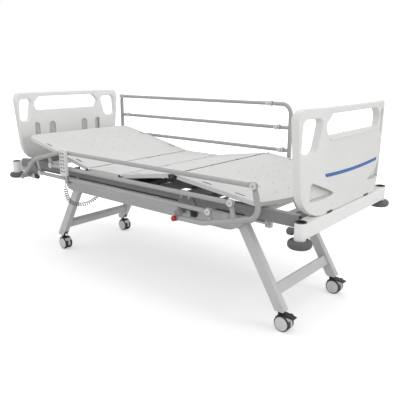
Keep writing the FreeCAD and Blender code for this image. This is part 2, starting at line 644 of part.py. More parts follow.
def wheel_pair(x_stem, y):
    """Two tyred wheels on one hub tube round the axle."""
    x = x_stem + WHEEL_TRAIL
    z = WHEEL_RADIUS
    pieces = []
    for side in (-1, 1):
        near, far = y + side * 7.0, y + side * 26.0
        tyre = cross_pin(WHEEL_RADIUS, x, z, (near, far))
        rims = [e for e in tyre.Edges if e.Curve.TypeId == "Part::GeomCircle"]
        tyre = tyre.makeChamfer(3.0, rims)
        dish = cross_pin(30.0, x, z, (y + side * 24.0, y + side * 27.0))
        pieces.append(tyre.cut(dish))
    wheels = Part.makeCompound(pieces)
    bore = cross_pin(4.0 + RUN, x, z, (y - 21.5, y + 21.5))
    return [solid.cut(bore) for solid in wheels.Solids]


# Side rails

def in_plane(points):
    return [(x, 0, z) for x, z in points]


def bent_tube(points, radii, radius, wall):
    outer = swept(rounded_wire(in_plane(points), radii, False), radius)
    return outer.cut(swept(rounded_wire(in_plane(points), radii, False), radius - wall))


def tongue(pin, direction, bore):
    """The flat eye that a bar's fork turns on, joined to a tube on the given side."""
    x, z = pin
    reach = 24.0
    eye = cross_pin(BAR_RADIUS, x, z, (-4.0, 4.0))
    dx, dz = direction
    ends = sorted((x, x + dx * reach)), sorted((z, z + dz * reach))
    wide = [(low, high) if high > low else (low - BAR_RADIUS, high + BAR_RADIUS) for low, high in ends]
    neck = box(wide[0], (-4.0, 4.0), wide[1])
    plug = rod(BAR_RADIUS, (x + dx * 22, 0, z + dz * 22), (x + dx * 34, 0, z + dz * 34))
    return eye.fuse([neck, plug]), cross_pin(RAIL_PIN + bore, x, z, (-5, 5))


def rail_post(eyes, tubes, boss_radius):
    """A post from its bent tube, stubs and eyes, with the pivot boss at (0, 0)."""
    tongues, bores = [], []
    for pin, direction, bore in eyes:
        shape, hole = tongue(pin, direction, bore)
        tongues.append(shape)
        bores.append(hole)
    boss = cross_pin(boss_radius, 0, 0, (-BOSS_HALF, BOSS_HALF))
    body = tubes[0].fuse(tubes[1:] + tongues + [boss])
    return body.cut(bores + [cross_pin(PIVOT_STUD + RUN, 0, 0, (-BOSS_HALF - 1, BOSS_HALF + 1))])


def foot_post():
    top_x, top_z = PINS["top"]
    knob_x, knob_z = KNOB_PLACE
    tube = bent_tube([(top_x + 30, top_z), (FOOT_POST_X, top_z), (FOOT_POST_X, 140), (knob_x, knob_z)],
                     [0, 60, 120, 0], POST_RADIUS, 2.0)
    eyes = [(PINS["top"], (1, 0), RUN)]
    tubes = [tube]
    for name in ("middle", "low"):
        x, z = PINS[name]
        eyes.append((PINS[name], (1, 0), RUN))
        tubes.append(rod(BAR_RADIUS, (x + 30, 0, z), (FOOT_POST_X - POST_RADIUS + 2, 0, z)))
    web = box((0, 34), (-4, 4), (-14, 14))
    lock_boss = cross_pin(15.0, knob_x, knob_z, (-BOSS_HALF, BOSS_HALF))
    body = rail_post(eyes, tubes + [web, lock_boss], 15.0)
    return body.cut(cross_pin(5 + RUN, knob_x, knob_z, (-BOSS_HALF - 1, BOSS_HALF + 1)))


def head_post():
    top_x, top_z = PINS["top"]
    tube = bent_tube([(top_x, top_z - 30), (HEAD_POST_X, 150), (10.5, -40)], [0, 90, 0], POST_RADIUS, 2.0)
    eyes = [(PINS["top"], (0, -1), GAP)]
    tubes = [tube]
    for name in ("middle", "low"):
        x, z = PINS[name]
        eyes.append((PINS[name], (-1, 0), GAP))
        tubes.append(rod(BAR_RADIUS, (HEAD_POST_X + POST_RADIUS - 2, 0, z), (x - 30, 0, z)))
    return rail_post(eyes, tubes, 17.0)


def rail_bar(name):
    """A bar with a forked end and a pin at each post; its two pins are RAIL_SPAN apart."""
    x, z = PINS[name]
    start = x - RAIL_SPAN
    outer = rod(BAR_RADIUS, (start + 26, 0, z), (x - 26, 0, z))
    inner = rod(BAR_RADIUS - 1.5, (start + 40, 0, z), (x - 40, 0, z))
    pieces = [outer.cut(inner)]
    for pin_x, towards in ((start, 1), (x, -1)):
        for low, high in ((-9.5, -4.3), (4.3, 9.5)):
            cheek = cross_pin(BAR_RADIUS, pin_x, z, (low, high))
            reach = sorted((pin_x, pin_x + towards * 28))
            pieces += [cheek, box(reach, (low, high), (z - 9, z + 9))]
        pieces.append(cross_pin(RAIL_PIN, pin_x, z, (-9.5, 9.5)))
    return joined(pieces)


def lock_knob():
    """A sprung pull knob; its outer side is -Y here."""
    x, z = KNOB_PLACE
    plunger = cross_pin(5.0, x, z, (-16, 34))
    head = cross_pin(13.0, x, z, (-32, -BOSS_HALF - GAP))
    rims = [e for e in head.Edges if e.Curve.TypeId == "Part::GeomCircle"]
    return head.makeChamfer(3.0, [rims[0], rims[-1]]).fuse(plunger)


def place_rail(shape, pivot_x, lowered, side):
    """From the raised shape about its pivot to the rail's place on one side of the bed."""
    shape = shape if side < 0 else mirror_y(shape)
    shape = turned(shape, RAIL_SWING if lowered else 0.0, 0, 0)
    return moved(shape, pivot_x, side * RAIL_Y, RAIL_PIVOT_Z)


def place_bar(name, lowered, side):
    """A bar keeps level, so it only moves with its pin."""
    x, z = PINS[name]
    pin = Vector(x, 0, z)
    if lowered:
        angle = math.radians(RAIL_SWING)
        pin = Vector(x * math.cos(angle) + z * math.sin(angle), 0, z * math.cos(angle) - x * math.sin(angle))
    shift = pin - Vector(x, 0, z)
    return moved(rail_bar(name), FOOT_PIVOT_X + shift.x, side * RAIL_Y, RAIL_PIVOT_Z + shift.z)


def side_rail(name, lowered, side):
    export(name + "_rail_foot_post", place_rail(foot_post(), FOOT_PIVOT_X, lowered, side))
    export(name + "_rail_head_post", place_rail(head_post(), HEAD_PIVOT_X, lowered, side))
    export(name + "_rail_lock_knob", place_rail(lock_knob(), FOOT_PIVOT_X, lowered, side))
    for bar in PINS:
        export(name + "_rail_" + bar + "_bar", place_bar(bar, lowered, side))


# End boards

def through(outline, radii):
    """A prism through the board from an outline in Y and Z."""
    start = BOARD_FACE_X - 140
    wire = rounded_wire([(start, y, z) for y, z in outline], radii, True)
    return prism(wire, (200, 0, 0))


def board(half):
    """A moulded end board with swept wings, a centre grip slot and a grip hole in each wing."""
    fold = 0.61 * half
    outline = [(-half, BOARD_TOP), (half, BOARD_TOP), (0.9 * half, BOARD_BOTTOM), (-0.9 * half, BOARD_BOTTOM)]
    body = through(outline, [45, 45, 130, 130])
    face, back = BOARD_FACE_X, BOARD_FACE_X - BOARD_THICK
    wing_y = half + 20
    sweep = BOARD_SWEEP * (wing_y - fold) / (half - fold)
    plan = [(face, -fold), (face, fold), (face - sweep, wing_y), (back - sweep, wing_y),
            (back, fold), (back, -fold), (back - sweep, -wing_y), (face - sweep, -wing_y)]
    band = prism(rounded_wire([(x, y, BOARD_BOTTOM - 5) for x, y in plan],
                              [120, 120, 0, 0, 90, 90, 0, 0], True), (0, 0, BOARD_TOP - BOARD_BOTTOM + 10))
    body = body.common(band)
    low, tip, high = SLOT_Z
    end = 0.64 * half
    slot = through([(-end + 50, high), (end - 50, high), (end, tip), (end - 26, low), (-end + 26, low),
                    (-end, tip)], [14, 14, 30, 14, 14, 30])
    grip_low, grip_high = GRIP_Z
    grip = [(0.67 * half, grip_high), (0.92 * half, grip_high), (0.93 * half, grip_low), (0.745 * half, grip_low)]
    grip_hole = through(grip, [22, 30, 28, 34])
    return body.cut([slot, grip_hole, mirror_y(grip_hole)])


def board_feet():
    """Two blades that stand in the crossbar's slots."""
    feet = []
    for y in (-BOARD_FEET_Y, BOARD_FEET_Y):
        feet.append(box((SOCKET_X - 7, SOCKET_X + 7), (y - 34, y + 34), (CROSSBAR_LOW + 8, BOARD_BOTTOM + 12)))
    return feet


def rounded_board(half):
    """The board with softened rims on its faces."""
    body = board(half)
    face_edges = []
    for edge in body.Edges:
        box_of = edge.BoundBox
        runs_across = box_of.XLength > BOARD_THICK * 0.8 and box_of.YLength < 25 and box_of.ZLength < 25
        upright_fold = abs(edge.CenterOfMass.y) < 0.8 * half and box_of.ZLength > 60 and box_of.YLength < 1
        if not runs_across and not upright_fold:
            face_edges.append(edge)
    return body.makeFillet(5.0, face_edges)


def finger_recess(half):
    """A triangular grip low on the board's outer face, deeper towards the swept wing."""
    face, low = BOARD_FACE_X, BOARD_BOTTOM + 67
    near, far = 0.38 * half, 0.79 * half
    outline = [(near, low + 9), (far, low + 80), (far + 8, low)]
    triangle = prism(rounded_wire([(face - 60, y, z) for y, z in outline], [8, 16, 16], True), (90, 0, 0))
    plan = [(face - 5, near - 5), (face - 33, far + 10), (face + 30, far + 10), (face + 30, near - 5)]
    wedge = prism(rounded_wire([(x, y, low - 5) for x, y in plan], [0] * 4, True), (0, 0, 95))
    return triangle.common(wedge)


def stripe_wire(x):
    """The outline of a shallow upward bow with slanted ends."""
    right, z, bow, wide = STRIPE_HALF, STRIPE_Z, 9.0, 15.0
    upper = Part.Arc(Vector(x, -right, z + bow), Vector(x, 0, z), Vector(x, right, z + bow))
    lower_end, low = right - wide / 2, z - wide
    lower = Part.Arc(Vector(x, lower_end, low + bow), Vector(x, 0, low), Vector(x, -lower_end, low + bow))
    return Part.Wire([
        upper.toShape(),
        Part.LineSegment(upper.EndPoint, lower.StartPoint).toShape(),
        lower.toShape(),
        Part.LineSegment(lower.EndPoint, upper.StartPoint).toShape(),
    ])


def footboard_stripe():
    return prism(stripe_wire(BOARD_FACE_X - 0.8), (1.5, 0, 0))


def footboard():
    body = rounded_board(FOOTBOARD_HALF)
    recess = finger_recess(FOOTBOARD_HALF)
    groove = prism(stripe_wire(BOARD_FACE_X - 0.8), (30, 0, 0))
    marks = [box((BOARD_FACE_X - 1.2, BOARD_FACE_X + 1), (y - 1, y + 1), (BOARD_BOTTOM + 25, BOARD_BOTTOM + 43))
             for y in (-BOARD_FEET_Y, BOARD_FEET_Y)]
    body = body.cut([recess, mirror_y(recess), groove] + marks)
    return joined([body] + board_feet())


def headboard():
    """The inner face, towards the mattress, has four arched recesses."""
    body = rounded_board(HEADBOARD_HALF)
    back = BOARD_FACE_X - BOARD_THICK
    arches = []
    foot, spring = BOARD_BOTTOM + 150, BOARD_BOTTOM + 220
    inner, outer = 0.315 * HEADBOARD_HALF, 0.605 * HEADBOARD_HALF
    for y in (-outer, -inner, inner, outer):
        arch = box((back - 2, back + 9), (y - 25, y + 25), (foot, spring))
        crown = rod(25.0, (back - 2, y, spring), (back + 9, y, spring))
        arches.append(arch.fuse(crown))
    body = body.cut(arches)
    return mirror_x(joined([body] + board_feet()))


# Actuators

def actuator_body(front_x, back_x, y, z, side):
    """A linear actuator: outer tube for the rod, gear case at the rear, motor beside it."""
    towards = math.copysign(1, front_x - back_x)
    length = abs(front_x - back_x)
    depth = length - 40
    x = sorted((front_x, back_x))
    tube = box(x, (y - 19, y + 19), (z - 19, z + 19))
    lengthwise = [e for e in tube.Edges if e.BoundBox.XLength > length - 1]
    tube = tube.makeFillet(7.0, lengthwise)
    bore = rod(ROD_RADIUS + RUN, (front_x + towards, y, z), (front_x - towards * depth, y, z))
    tube = tube.cut(bore)
    case_x = sorted((back_x, back_x + towards * 58))
    case_y = sorted((y - side * 26, y + side * 72))
    case = box(case_x, case_y, (z - 21, z + 21))
    case = case.makeFillet(8.0, [e for e in case.Edges if e.BoundBox.XLength > 57])
    motor_x = back_x + towards * 58
    motor = rod(20.0, (motor_x, y + side * 44, z), (motor_x + towards * 120, y + side * 44, z))
    return joined([tube, case.cut(bore), motor])


def mount_plate(back_x, towards, y, z):
    """A plate under a cross member that an actuator's rear is bolted to."""
    x = sorted((back_x, back_x - towards * 5))
    return box(x, (y - 25, y + 25), (z - 20, CROSS_MEMBER_Z[0]))


def drive_place(hinge_x, hinge_z, length, angle):
    """The drive pin's place; a positive angle leans the lever to +X."""
    turn = math.radians(angle)
    return hinge_x + length * math.sin(turn), hinge_z - length * math.cos(turn)


BACK_PIN = drive_place(BACK_HINGE_X, HINGE_HEIGHT, BACK_LEVER, BACK_LEVER_ANGLE)
KNEE_PIN = drive_place(THIGH_HINGE_X, HINGE_HEIGHT, KNEE_LEVER, -KNEE_LEVER_ANGLE)
FOOT_PIN = drive_place(FOOT_LEG_X, LEG_PIVOT_Z, LIFT_ARM, -LIFT_ARM_ANGLE)
BACK_ROD_Z = HINGE_HEIGHT - BACK_LEVER * (1 + math.cos(math.radians(35))) / 2
KNEE_ROD_Z = HINGE_HEIGHT - KNEE_LEVER * (1 + math.cos(math.radians(17))) / 2
LIFT_ROD_Z = LEG_PIVOT_Z - LIFT_ARM * (1 + math.cos(math.radians(25))) / 2
BACK_FRONT_X = BACK_PIN[0] + 145
KNEE_FRONT_X = KNEE_PIN[0] + 105
LIFT_FRONT_X = FOOT_PIN[0] - 105
HEAD_LIFT_FRONT_X = FOOT_LEG_X + HEAD_LEG_X - LIFT_FRONT_X
SEAT_MEMBER_X, MIDDLE_MEMBER_X, KNEE_MEMBER_X = CROSS_MEMBERS_X[1], CROSS_MEMBERS_X[3], CROSS_MEMBERS_X[4]
BACK_REAR_X = MIDDLE_MEMBER_X - 12
KNEE_REAR_X = KNEE_MEMBER_X - 12
FOOT_LIFT_REAR_X = MIDDLE_MEMBER_X + 12
HEAD_LIFT_REAR_X = SEAT_MEMBER_X - 12


def actuator_motors():
    return [
        actuator_body(BACK_FRONT_X, BACK_REAR_X, BACK_DRIVE_Y, BACK_ROD_Z, 1),
        actuator_body(KNEE_FRONT_X, KNEE_REAR_X, KNEE_DRIVE_Y, KNEE_ROD_Z, -1),
        actuator_body(LIFT_FRONT_X, FOOT_LIFT_REAR_X, 0.0, LIFT_ROD_Z, 1),
        actuator_body(HEAD_LIFT_FRONT_X, HEAD_LIFT_REAR_X, 0.0, LIFT_ROD_Z, -1),
    ]


def actuator_mounts():
    return [
        mount_plate(BACK_REAR_X, -1, BACK_DRIVE_Y, BACK_ROD_Z),
        mount_plate(KNEE_REAR_X, -1, KNEE_DRIVE_Y, KNEE_ROD_Z),
        mount_plate(FOOT_LIFT_REAR_X, 1, 0.0, LIFT_ROD_Z),
        mount_plate(HEAD_LIFT_REAR_X, -1, 0.0, LIFT_ROD_Z),
    ]


def drive_rod(pin_x, y, z, towards, length, slot_half):
    """A rod with a slotted yoke that carries the lever's pin."""
    shaft = rod(ROD_RADIUS, (pin_x - towards * 16, y, z), (pin_x - towards * length, y, z))
    half = LEVER_HALF - HINGE_PLATE - GAP
    yoke = box((pin_x - 18, pin_x + 18), (y - half, y + half), (z - slot_half - 10, z + slot_half + 10))
    yoke = yoke.makeFillet(5.0, [e for e in yoke.Edges if e.BoundBox.YLength > half])
    width = DRIVE_PIN + 3.2
    slot = box((pin_x - width, pin_x + width), (y - 10, y + 10), (z - slot_half, z + slot_half))
    return yoke.cut(slot).fuse(shaft)


def back_rod():
    return drive_rod(BACK_PIN[0], BACK_DRIVE_Y, BACK_ROD_Z, -1, 290.0, 17.5)


def knee_rod():
    return drive_rod(KNEE_PIN[0], KNEE_DRIVE_Y, KNEE_ROD_Z, -1, 250.0, 9.5)


def foot_lift_rod():
    return drive_rod(FOOT_PIN[0], 0.0, LIFT_ROD_Z, 1, 250.0, 12.5)


def control_box():
    case = box((-225.0, -60.0), (160.0, 280.0), (CROSS_MEMBER_Z[0] - 52, CROSS_MEMBER_Z[0]))
    case = case.makeFillet(5.0, [e for e in case.Edges if e.BoundBox.ZLength > 50])
    inside = box((-222.0, -63.0), (163.0, 277.0), (CROSS_MEMBER_Z[0] - 49, CROSS_MEMBER_Z[0] - 3))
    sockets = [rod(7.0, (x, 159, CROSS_MEMBER_Z[0] - 26), (x, 164, CROSS_MEMBER_Z[0] - 26))
               for x in (-205.0, -175.0, -145.0, -115.0, -85.0)]
    return case.cut(inside).cut(sockets)


# Handset, its holder and its cord

def handset_holder():
    """A strip from the side tube that passes under the lowered rail and stands up behind the handset."""
    x = (HANDSET_X - 9, HANDSET_X + 9)
    back = HANDSET_Y[1]
    low = FRAME_TOP - 68
    riser = box(x, (-SIDE_TUBE_Y[1], -SIDE_TUBE_Y[1] + 3), (low, SIDE_TUBE_Z[0] + 20))
    riser = riser.cut(box(x, (-SIDE_TUBE_Y[1], -SIDE_TUBE_Y[0]), SIDE_TUBE_Z))
    shelf = box(x, (back, -SIDE_TUBE_Y[1] + 3), (low, low + 3))
    foot = box(x, (-SIDE_TUBE_Y[1], -SIDE_TUBE_Y[0] - 5), (SIDE_TUBE_Z[0] - 3, SIDE_TUBE_Z[0]))
    upright = box(x, (back, back + 2), (low, HANDSET_Z[1] - 8))
    return joined([riser, shelf, foot, upright])


def handset():
    x = (HANDSET_X - HANDSET_WIDTH / 2, HANDSET_X + HANDSET_WIDTH / 2)
    case = box(x, HANDSET_Y, HANDSET_Z)
    case = case.makeFillet(9.0, [e for e in case.Edges if e.BoundBox.YLength > 19])
    rims = [e for e in case.Edges if e.BoundBox.YLength < 0.1]
    case = case.makeFillet(2.5, rims)
    pockets = [key_space(row) for row in range(KEY_ROWS)]
    lead_hole = rod(LEAD_RADIUS + GAP, (HANDSET_X, CORD_Y, HANDSET_Z[0] - 1), (HANDSET_X, CORD_Y, HANDSET_Z[0] + 4))
    return case.cut(pockets + [lead_hole])


def key_height(row):
    return HANDSET_Z[1] - 24.0 - row * 20.5


def key_space(row):
    z = key_height(row)
    return box((HANDSET_X - 19, HANDSET_X + 19), (HANDSET_Y[0] - 1, HANDSET_Y[0] + 6), (z - 6, z + 6))


def handset_key(row):
    """A rocker with a raised dot at each end."""
    z = key_height(row)
    front = HANDSET_Y[0]
    plate = box((HANDSET_X - 18.5, HANDSET_X + 18.5), (front + 1.6, front + 4.2), (z - 5.5, z + 5.5))
    dots = [rod(4.0, (HANDSET_X + x, front + 2, z), (HANDSET_X + x, front + 0.4, z)) for x in (-11.5, 11.5)]
    ridge = rod(1.8, (HANDSET_X, front + 4.2, z - 5.5), (HANDSET_X, front + 4.2, z + 5.5))
    return joined([plate, ridge] + dots)


CORD_Y = (HANDSET_Y[0] + HANDSET_Y[1]) / 2
LEAD_END = (HANDSET_X - 6, CORD_Y + 4, HANDSET_Z[0] - 65)
LEAD_ROUTE = [(HANDSET_X, CORD_Y, HANDSET_Z[0] + 3), (HANDSET_X - 1, CORD_Y + 1, HANDSET_Z[0] - 33), LEAD_END]
COIL_ROUTE = [
    LEAD_END,
    (HANDSET_X - 16.5, CORD_Y + 10.3, HANDSET_Z[0] - 132.2),
    (HANDSET_X - 14, CORD_Y + 62, HANDSET_Z[0] - 190),
    (HANDSET_X + 8, -CHANNEL_Y[0] - 22, CHANNEL_Z[0] - 41),
    (HANDSET_X + 29, -CHANNEL_Y[0] + 38, CHANNEL_Z[0] + 10),
    (HANDSET_X + 40, -CHANNEL_Y[0] + 46, CHANNEL_Z[0] + 78),
]


def cord_path(points, name):
    """Arcs as large as the runs beside them allow."""
    vectors = [Vector(*p) for p in points]
    radii = [0.0]
    for index in range(1, len(vectors) - 1):
        before = vectors[index] - vectors[index - 1]
        after = vectors[index + 1] - vectors[index]
        turn = before.getAngle(after)
        radii.append(0.45 * min(before.Length, after.Length) / math.tan(turn / 2))
    radii.append(0.0)
    print(name, "arc radii", [round(r, 1) for r in radii[1:-1]])
    return rounded_wire(points, radii, False)


def cord(points, radius, name):
    wire = cord_path(points, name)
    solid = swept(wire, radius)
    print(name, "length", round(wire.Length, 1),
          "volume over section times length", round(solid.Volume / (math.pi * radius ** 2 * wire.Length), 4))
    return solid


def cord_gland(coil):
    """Where the coil ends on a bracket inside the right channel."""
    x, y, z = COIL_ROUTE[-1]
    wide = COIL_RADIUS + 2
    nose = rod(wide, (x, y, z - 2), (x, y, z + 14)).cut(coil)
    tab = box((x - wide, x + wide), (-CHANNEL_Y[0] - 3, y + wide), (z + 10, z + 16))
    plate = box((x - wide, x + wide), (-CHANNEL_Y[0] - 4, -CHANNEL_Y[0]), (z + 10, CHANNEL_Z[1]))
    flange_low = CHANNEL_Z[1] - CHANNEL_SHEET
    flange = box((x - wide - 1, x + wide + 1), (-CHANNEL_Y[1], -CHANNEL_Y[0]), (flange_low, CHANNEL_Z[1]))
    plate = plate.cut(flange)
    return joined([nose, tab, plate])


def main():
    os.makedirs("parts", exist_ok=True)
    export("bed_frame", joined([bed_frame()] + actuator_mounts()))
    export("leg_channels", both_sides(channel()))
    export("crossbars", [crossbar(), mirror_x(crossbar())])
    corners = [(x, y) for x in (-SOCKET_X, SOCKET_X) for y in (-SOCKET_Y, SOCKET_Y)]
    export("socket_bushes", [socket_bush(x, y) for x, y in corners])
    export("corner_bumpers", [corner_bumper(x, y) for x, y in corners]
           + [corner_knob(-SOCKET_Y), corner_knob(SOCKET_Y)])
    brackets = [rail_bracket(x) for x in (FOOT_PIVOT_X, HEAD_PIVOT_X)]
    export("rail_brackets", brackets + [mirror_y(b) for b in brackets])
    export("seat_panel", seat_panel())
    export("hinge_pins", hinge_pins())
    export("back_panel", back_panel())
    export("back_frame", back_frame())
    export("thigh_panel", thigh_panel())
    export("thigh_frame", thigh_frame())
    export("calf_panel", calf_panel())
    export("calf_frame", calf_frame())
    export("headboard", headboard())
    export("footboard", footboard())
    export("footboard_stripe", footboard_stripe())
    export("foot_leg_frame", leg_frame())
    export("head_leg_frame", at_head(leg_frame()))
    carriers = [carrier(y) for y in (-LEG_Y, LEG_Y)]
    export("foot_caster_carriers", carriers)
    export("head_caster_carriers", [at_head(c) for c in carriers])
    for end, x_stem in (("head", HEAD_STEM_X), ("foot", FOOT_STEM_X)):
        for side, y in (("right", -LEG_Y), ("left", LEG_Y)):
            name = end + "_" + side
            export(name + "_caster_fork", caster_fork(x_stem, y, end == "foot"))
            export(name + "_wheels", wheel_pair(x_stem, y))
            if end == "foot":
                export(name + "_brake_pedal", brake_pedal(x_stem, y))
    side_rail("right", True, -1)
    side_rail("left", False, 1)
    export("actuator_motors", actuator_motors())
    export("back_rod", back_rod())
    export("knee_rod", knee_rod())
    export("foot_lift_rod", foot_lift_rod())
    export("head_lift_rod", at_head(foot_lift_rod()))
    export("control_box", control_box())
    export("handset_holder", handset_holder())
    export("handset", handset())
    for row in range(KEY_ROWS):
        export("handset_key_" + str(row + 1), handset_key(row))
    export("handset_lead", cord(LEAD_ROUTE, LEAD_RADIUS, "lead"))
    coil = cord(COIL_ROUTE, COIL_RADIUS, "coil")
    export("handset_coil", coil)
    export("cord_gland", cord_gland(coil))


main()
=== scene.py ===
import math

import bmesh
import bpy
from mathutils import Matrix, Vector


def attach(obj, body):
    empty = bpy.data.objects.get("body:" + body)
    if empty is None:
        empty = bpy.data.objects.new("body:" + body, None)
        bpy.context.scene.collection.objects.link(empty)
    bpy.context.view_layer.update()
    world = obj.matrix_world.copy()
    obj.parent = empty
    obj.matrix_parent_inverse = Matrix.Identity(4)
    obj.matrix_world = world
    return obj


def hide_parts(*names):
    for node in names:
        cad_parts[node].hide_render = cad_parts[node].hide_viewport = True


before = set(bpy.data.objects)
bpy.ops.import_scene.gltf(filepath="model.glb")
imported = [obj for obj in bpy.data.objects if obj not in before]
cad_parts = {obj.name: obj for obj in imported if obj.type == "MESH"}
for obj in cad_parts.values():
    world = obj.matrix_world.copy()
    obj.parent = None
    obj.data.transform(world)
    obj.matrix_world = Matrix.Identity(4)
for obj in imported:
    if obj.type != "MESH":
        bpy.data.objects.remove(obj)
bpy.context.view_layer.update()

scene = bpy.context.scene


# The room: a white studio floor under soft lamps, seen from the foot end's right corner
# a little above the lying surface. The backdrop is white where it is seen, straight or in
# gloss, and lights the bed at a lower level.

EYE_PLACE = (1.9582, -2.1004, 1.1737)
EYE_DOWN, EYE_ROUND = 0.2574, 0.702
scene.view_settings.view_transform = "Standard"
eye = bpy.data.cameras.new("eye")
eye.lens = 44.31
eye.sensor_width = 36.0
eye_stand = bpy.data.objects.new("eye", eye)
eye_stand.location = EYE_PLACE
eye_stand.rotation_euler = (math.pi / 2 - EYE_DOWN, 0, EYE_ROUND)
scene.collection.objects.link(eye_stand)
scene.camera = eye_stand

LAMP_AIM = Vector((0, 0, 0.45))
LAMPS = (
    ("window", (2.0, -3.8, 3.0), 3.0, 33.0),
    ("front", (7.6, 1.6, 2.4), 3.6, 118.0),
    ("ceiling", (0.0, 0.3, 3.4), 3.6, 37.0),
    ("fill", (-3.4, -2.4, 1.9), 2.6, 18.0),
)
for lamp_name, lamp_place, lamp_size, lamp_power in LAMPS:
    lamp = bpy.data.lights.new(lamp_name, "AREA")
    lamp.shape = "DISK"
    lamp.size = lamp_size
    lamp.energy = lamp_power
    lamp_stand = bpy.data.objects.new(lamp_name, lamp)
    lamp_stand.location = lamp_place
    aim = LAMP_AIM - Vector(lamp_place)
    lamp_stand.rotation_euler = aim.to_track_quat("-Z", "Y").to_euler()
    scene.collection.objects.link(lamp_stand)


class Tint:
    """A socket of a material's nodes. Sums and products of tints become Math nodes."""

    def __init__(self, tree, socket=None):
        self.tree = tree
        self.socket = socket

    def add(self, kind, settings=None, sockets=None, out=0):
        """One new node: its settings first, then the values or links of its sockets."""
        node = self.tree.nodes.new(kind)
        for key, value in (settings or {}).items():
            if key == "stops":
                while len(node.color_ramp.elements) < len(value):
                    node.color_ramp.elements.new(1.0)
                for element, (place, shade) in zip(node.color_ramp.elements, value):
                    element.position = place
                    element.color = (shade, shade, shade, 1)
            else:
                setattr(node, key, value)
        for key, value in (sockets or {}).items():
            if isinstance(value, Tint):
                self.tree.links.new(value.socket, node.inputs[key])
            else:
                node.inputs[key].default_value = value
        return Tint(self.tree, node.outputs[out])

    def maths(self, operation, first, second):
        return self.add("ShaderNodeMath", {"operation": operation}, {0: first, 1: second})

    def __add__(self, other):
        return self.maths("ADD", self, other)

    __radd__ = __add__

    def __mul__(self, other):
        return self.maths("MULTIPLY", self, other)

    __rmul__ = __mul__

    def __sub__(self, other):
        return self.maths("SUBTRACT", self, other)

    def __rsub__(self, other):
        return self.maths("SUBTRACT", other, self)

    def place(self):
        return self.add("ShaderNodeTexCoord", out=3)

    def noise(self, scale, detail=2.0):
        return self.add("ShaderNodeTexNoise", None,
                        {"Vector": self.place(), "Scale": scale, "Detail": detail})

    def split(self):
        """The place's X, Y and Z as three tints."""
        node = self.add("ShaderNodeSeparateXYZ", None, {"Vector": self.place()}).socket.node
        return [Tint(self.tree, socket) for socket in node.outputs]

    def stops(self, *stops):
        return self.add("ShaderNodeValToRGB", {"stops": stops}, {"Fac": self})

    def mixed(self, first, second):
        """From the first colour to the second as this tint goes from 0 to 1."""
        mix = self.tree.nodes.new("ShaderNodeMix")
        mix.data_type = "RGBA"
        self.tree.links.new(self.socket, mix.inputs[0])
        for socket, value in ((mix.inputs[6], first), (mix.inputs[7], second)):
            if isinstance(value, Tint):
                self.tree.links.new(value.socket, socket)
            else:
                socket.default_value = (*value, 1)
        return Tint(self.tree, mix.outputs[2])


def new_finish(name, fixed=None):
    """An empty finish: its first tint and its surface shader, with the fixed values set."""
    material = bpy.data.materials.new(name)
    material.use_nodes = True
    surface = material.node_tree.nodes["Principled BSDF"]
    for key, value in (fixed or {}).items():
        surface.inputs[key].default_value = value
    return material, Tint(material.node_tree), surface


def feed(surface, **links):
    """Tints linked to the shader's sockets that may change over a surface."""
    names = {"colour": "Base Color", "roughness": "Roughness", "normal": "Normal",
             "glow": "Emission Color"}
    for key, tint in links.items():
        tint.tree.links.new(tint.socket, surface.inputs[names[key]])


def bump(height, strength, distance):
    return height.add("ShaderNodeBump", None,
                      {"Height": height, "Strength": strength, "Distance": distance})


FLOOR_WIDTH = 40
FADE_RATE = 0.2
floor_finish, tint, surface = new_finish(
    "studio_floor", {"Roughness": 0.9, "Specular IOR Level": 0.1, "Emission Strength": 1.0})
feed(surface, colour=tint.noise(0.6).mixed((0.86, 0.86, 0.86), (0.89, 0.89, 0.89)))
seen = tint.add("ShaderNodeLightPath", out=0)
from_middle = tint.add("ShaderNodeVectorMath", {"operation": "LENGTH"}, {0: tint.place()}, out=1)
far_off = (from_middle * FADE_RATE).stops((0.26, 0.40), (0.62, 1.0))
feed(surface, glow=(seen * far_off).mixed((0, 0, 0), (1, 1, 1)))
bpy.ops.object.select_all(action="DESELECT")
bpy.ops.mesh.primitive_plane_add(size=FLOOR_WIDTH)
floor = bpy.context.object
floor.name = "studio_floor"
floor.data.materials.append(floor_finish)

LIGHT_LEVEL = 0.58
GLOSS_SHARE = 0.9
world = bpy.data.worlds.new("studio")
world.use_nodes = True
scene.world = world
sky = Tint(world.node_tree)
path_camera = sky.add("ShaderNodeLightPath", out=0)
path_glossy = sky.add("ShaderNodeLightPath", out=3)
path_through = sky.add("ShaderNodeLightPath", out=6)
straight_or_glossy = sky.maths("MAXIMUM", path_camera, path_glossy * GLOSS_SHARE)
level = sky.maths("MAXIMUM", straight_or_glossy, path_through) * (1 - LIGHT_LEVEL) + LIGHT_LEVEL
backdrop = world.node_tree.nodes["Background"]
backdrop.inputs["Color"].default_value = (1, 1, 1, 1)
world.node_tree.links.new(level.socket, backdrop.inputs["Strength"])


# Handset cord: a grey curly cord. A short straight lead leaves the handset, then the coil
# hangs under the right channel and climbs into a gland on its inner side.

CORD_THICK = 0.0045
COIL_THICK = 0.026
LEAD_ROUTE = [(-0.432, -0.482, 0.588), (-0.433, -0.481, 0.552), (-0.438, -0.478, 0.520)]
COIL_ROUTE = [(-0.438, -0.478, 0.520), (-0.4485, -0.4717, 0.4528), (-0.446, -0.420, 0.395),
              (-0.424, -0.322, 0.389), (-0.403, -0.262, 0.440), (-0.392, -0.254, 0.508)]
GUIDE_STEPS = 24
LEAD_POINTS_CUT = 4
TURN_PITCH = 0.0135
STEPS_A_TURN = 14


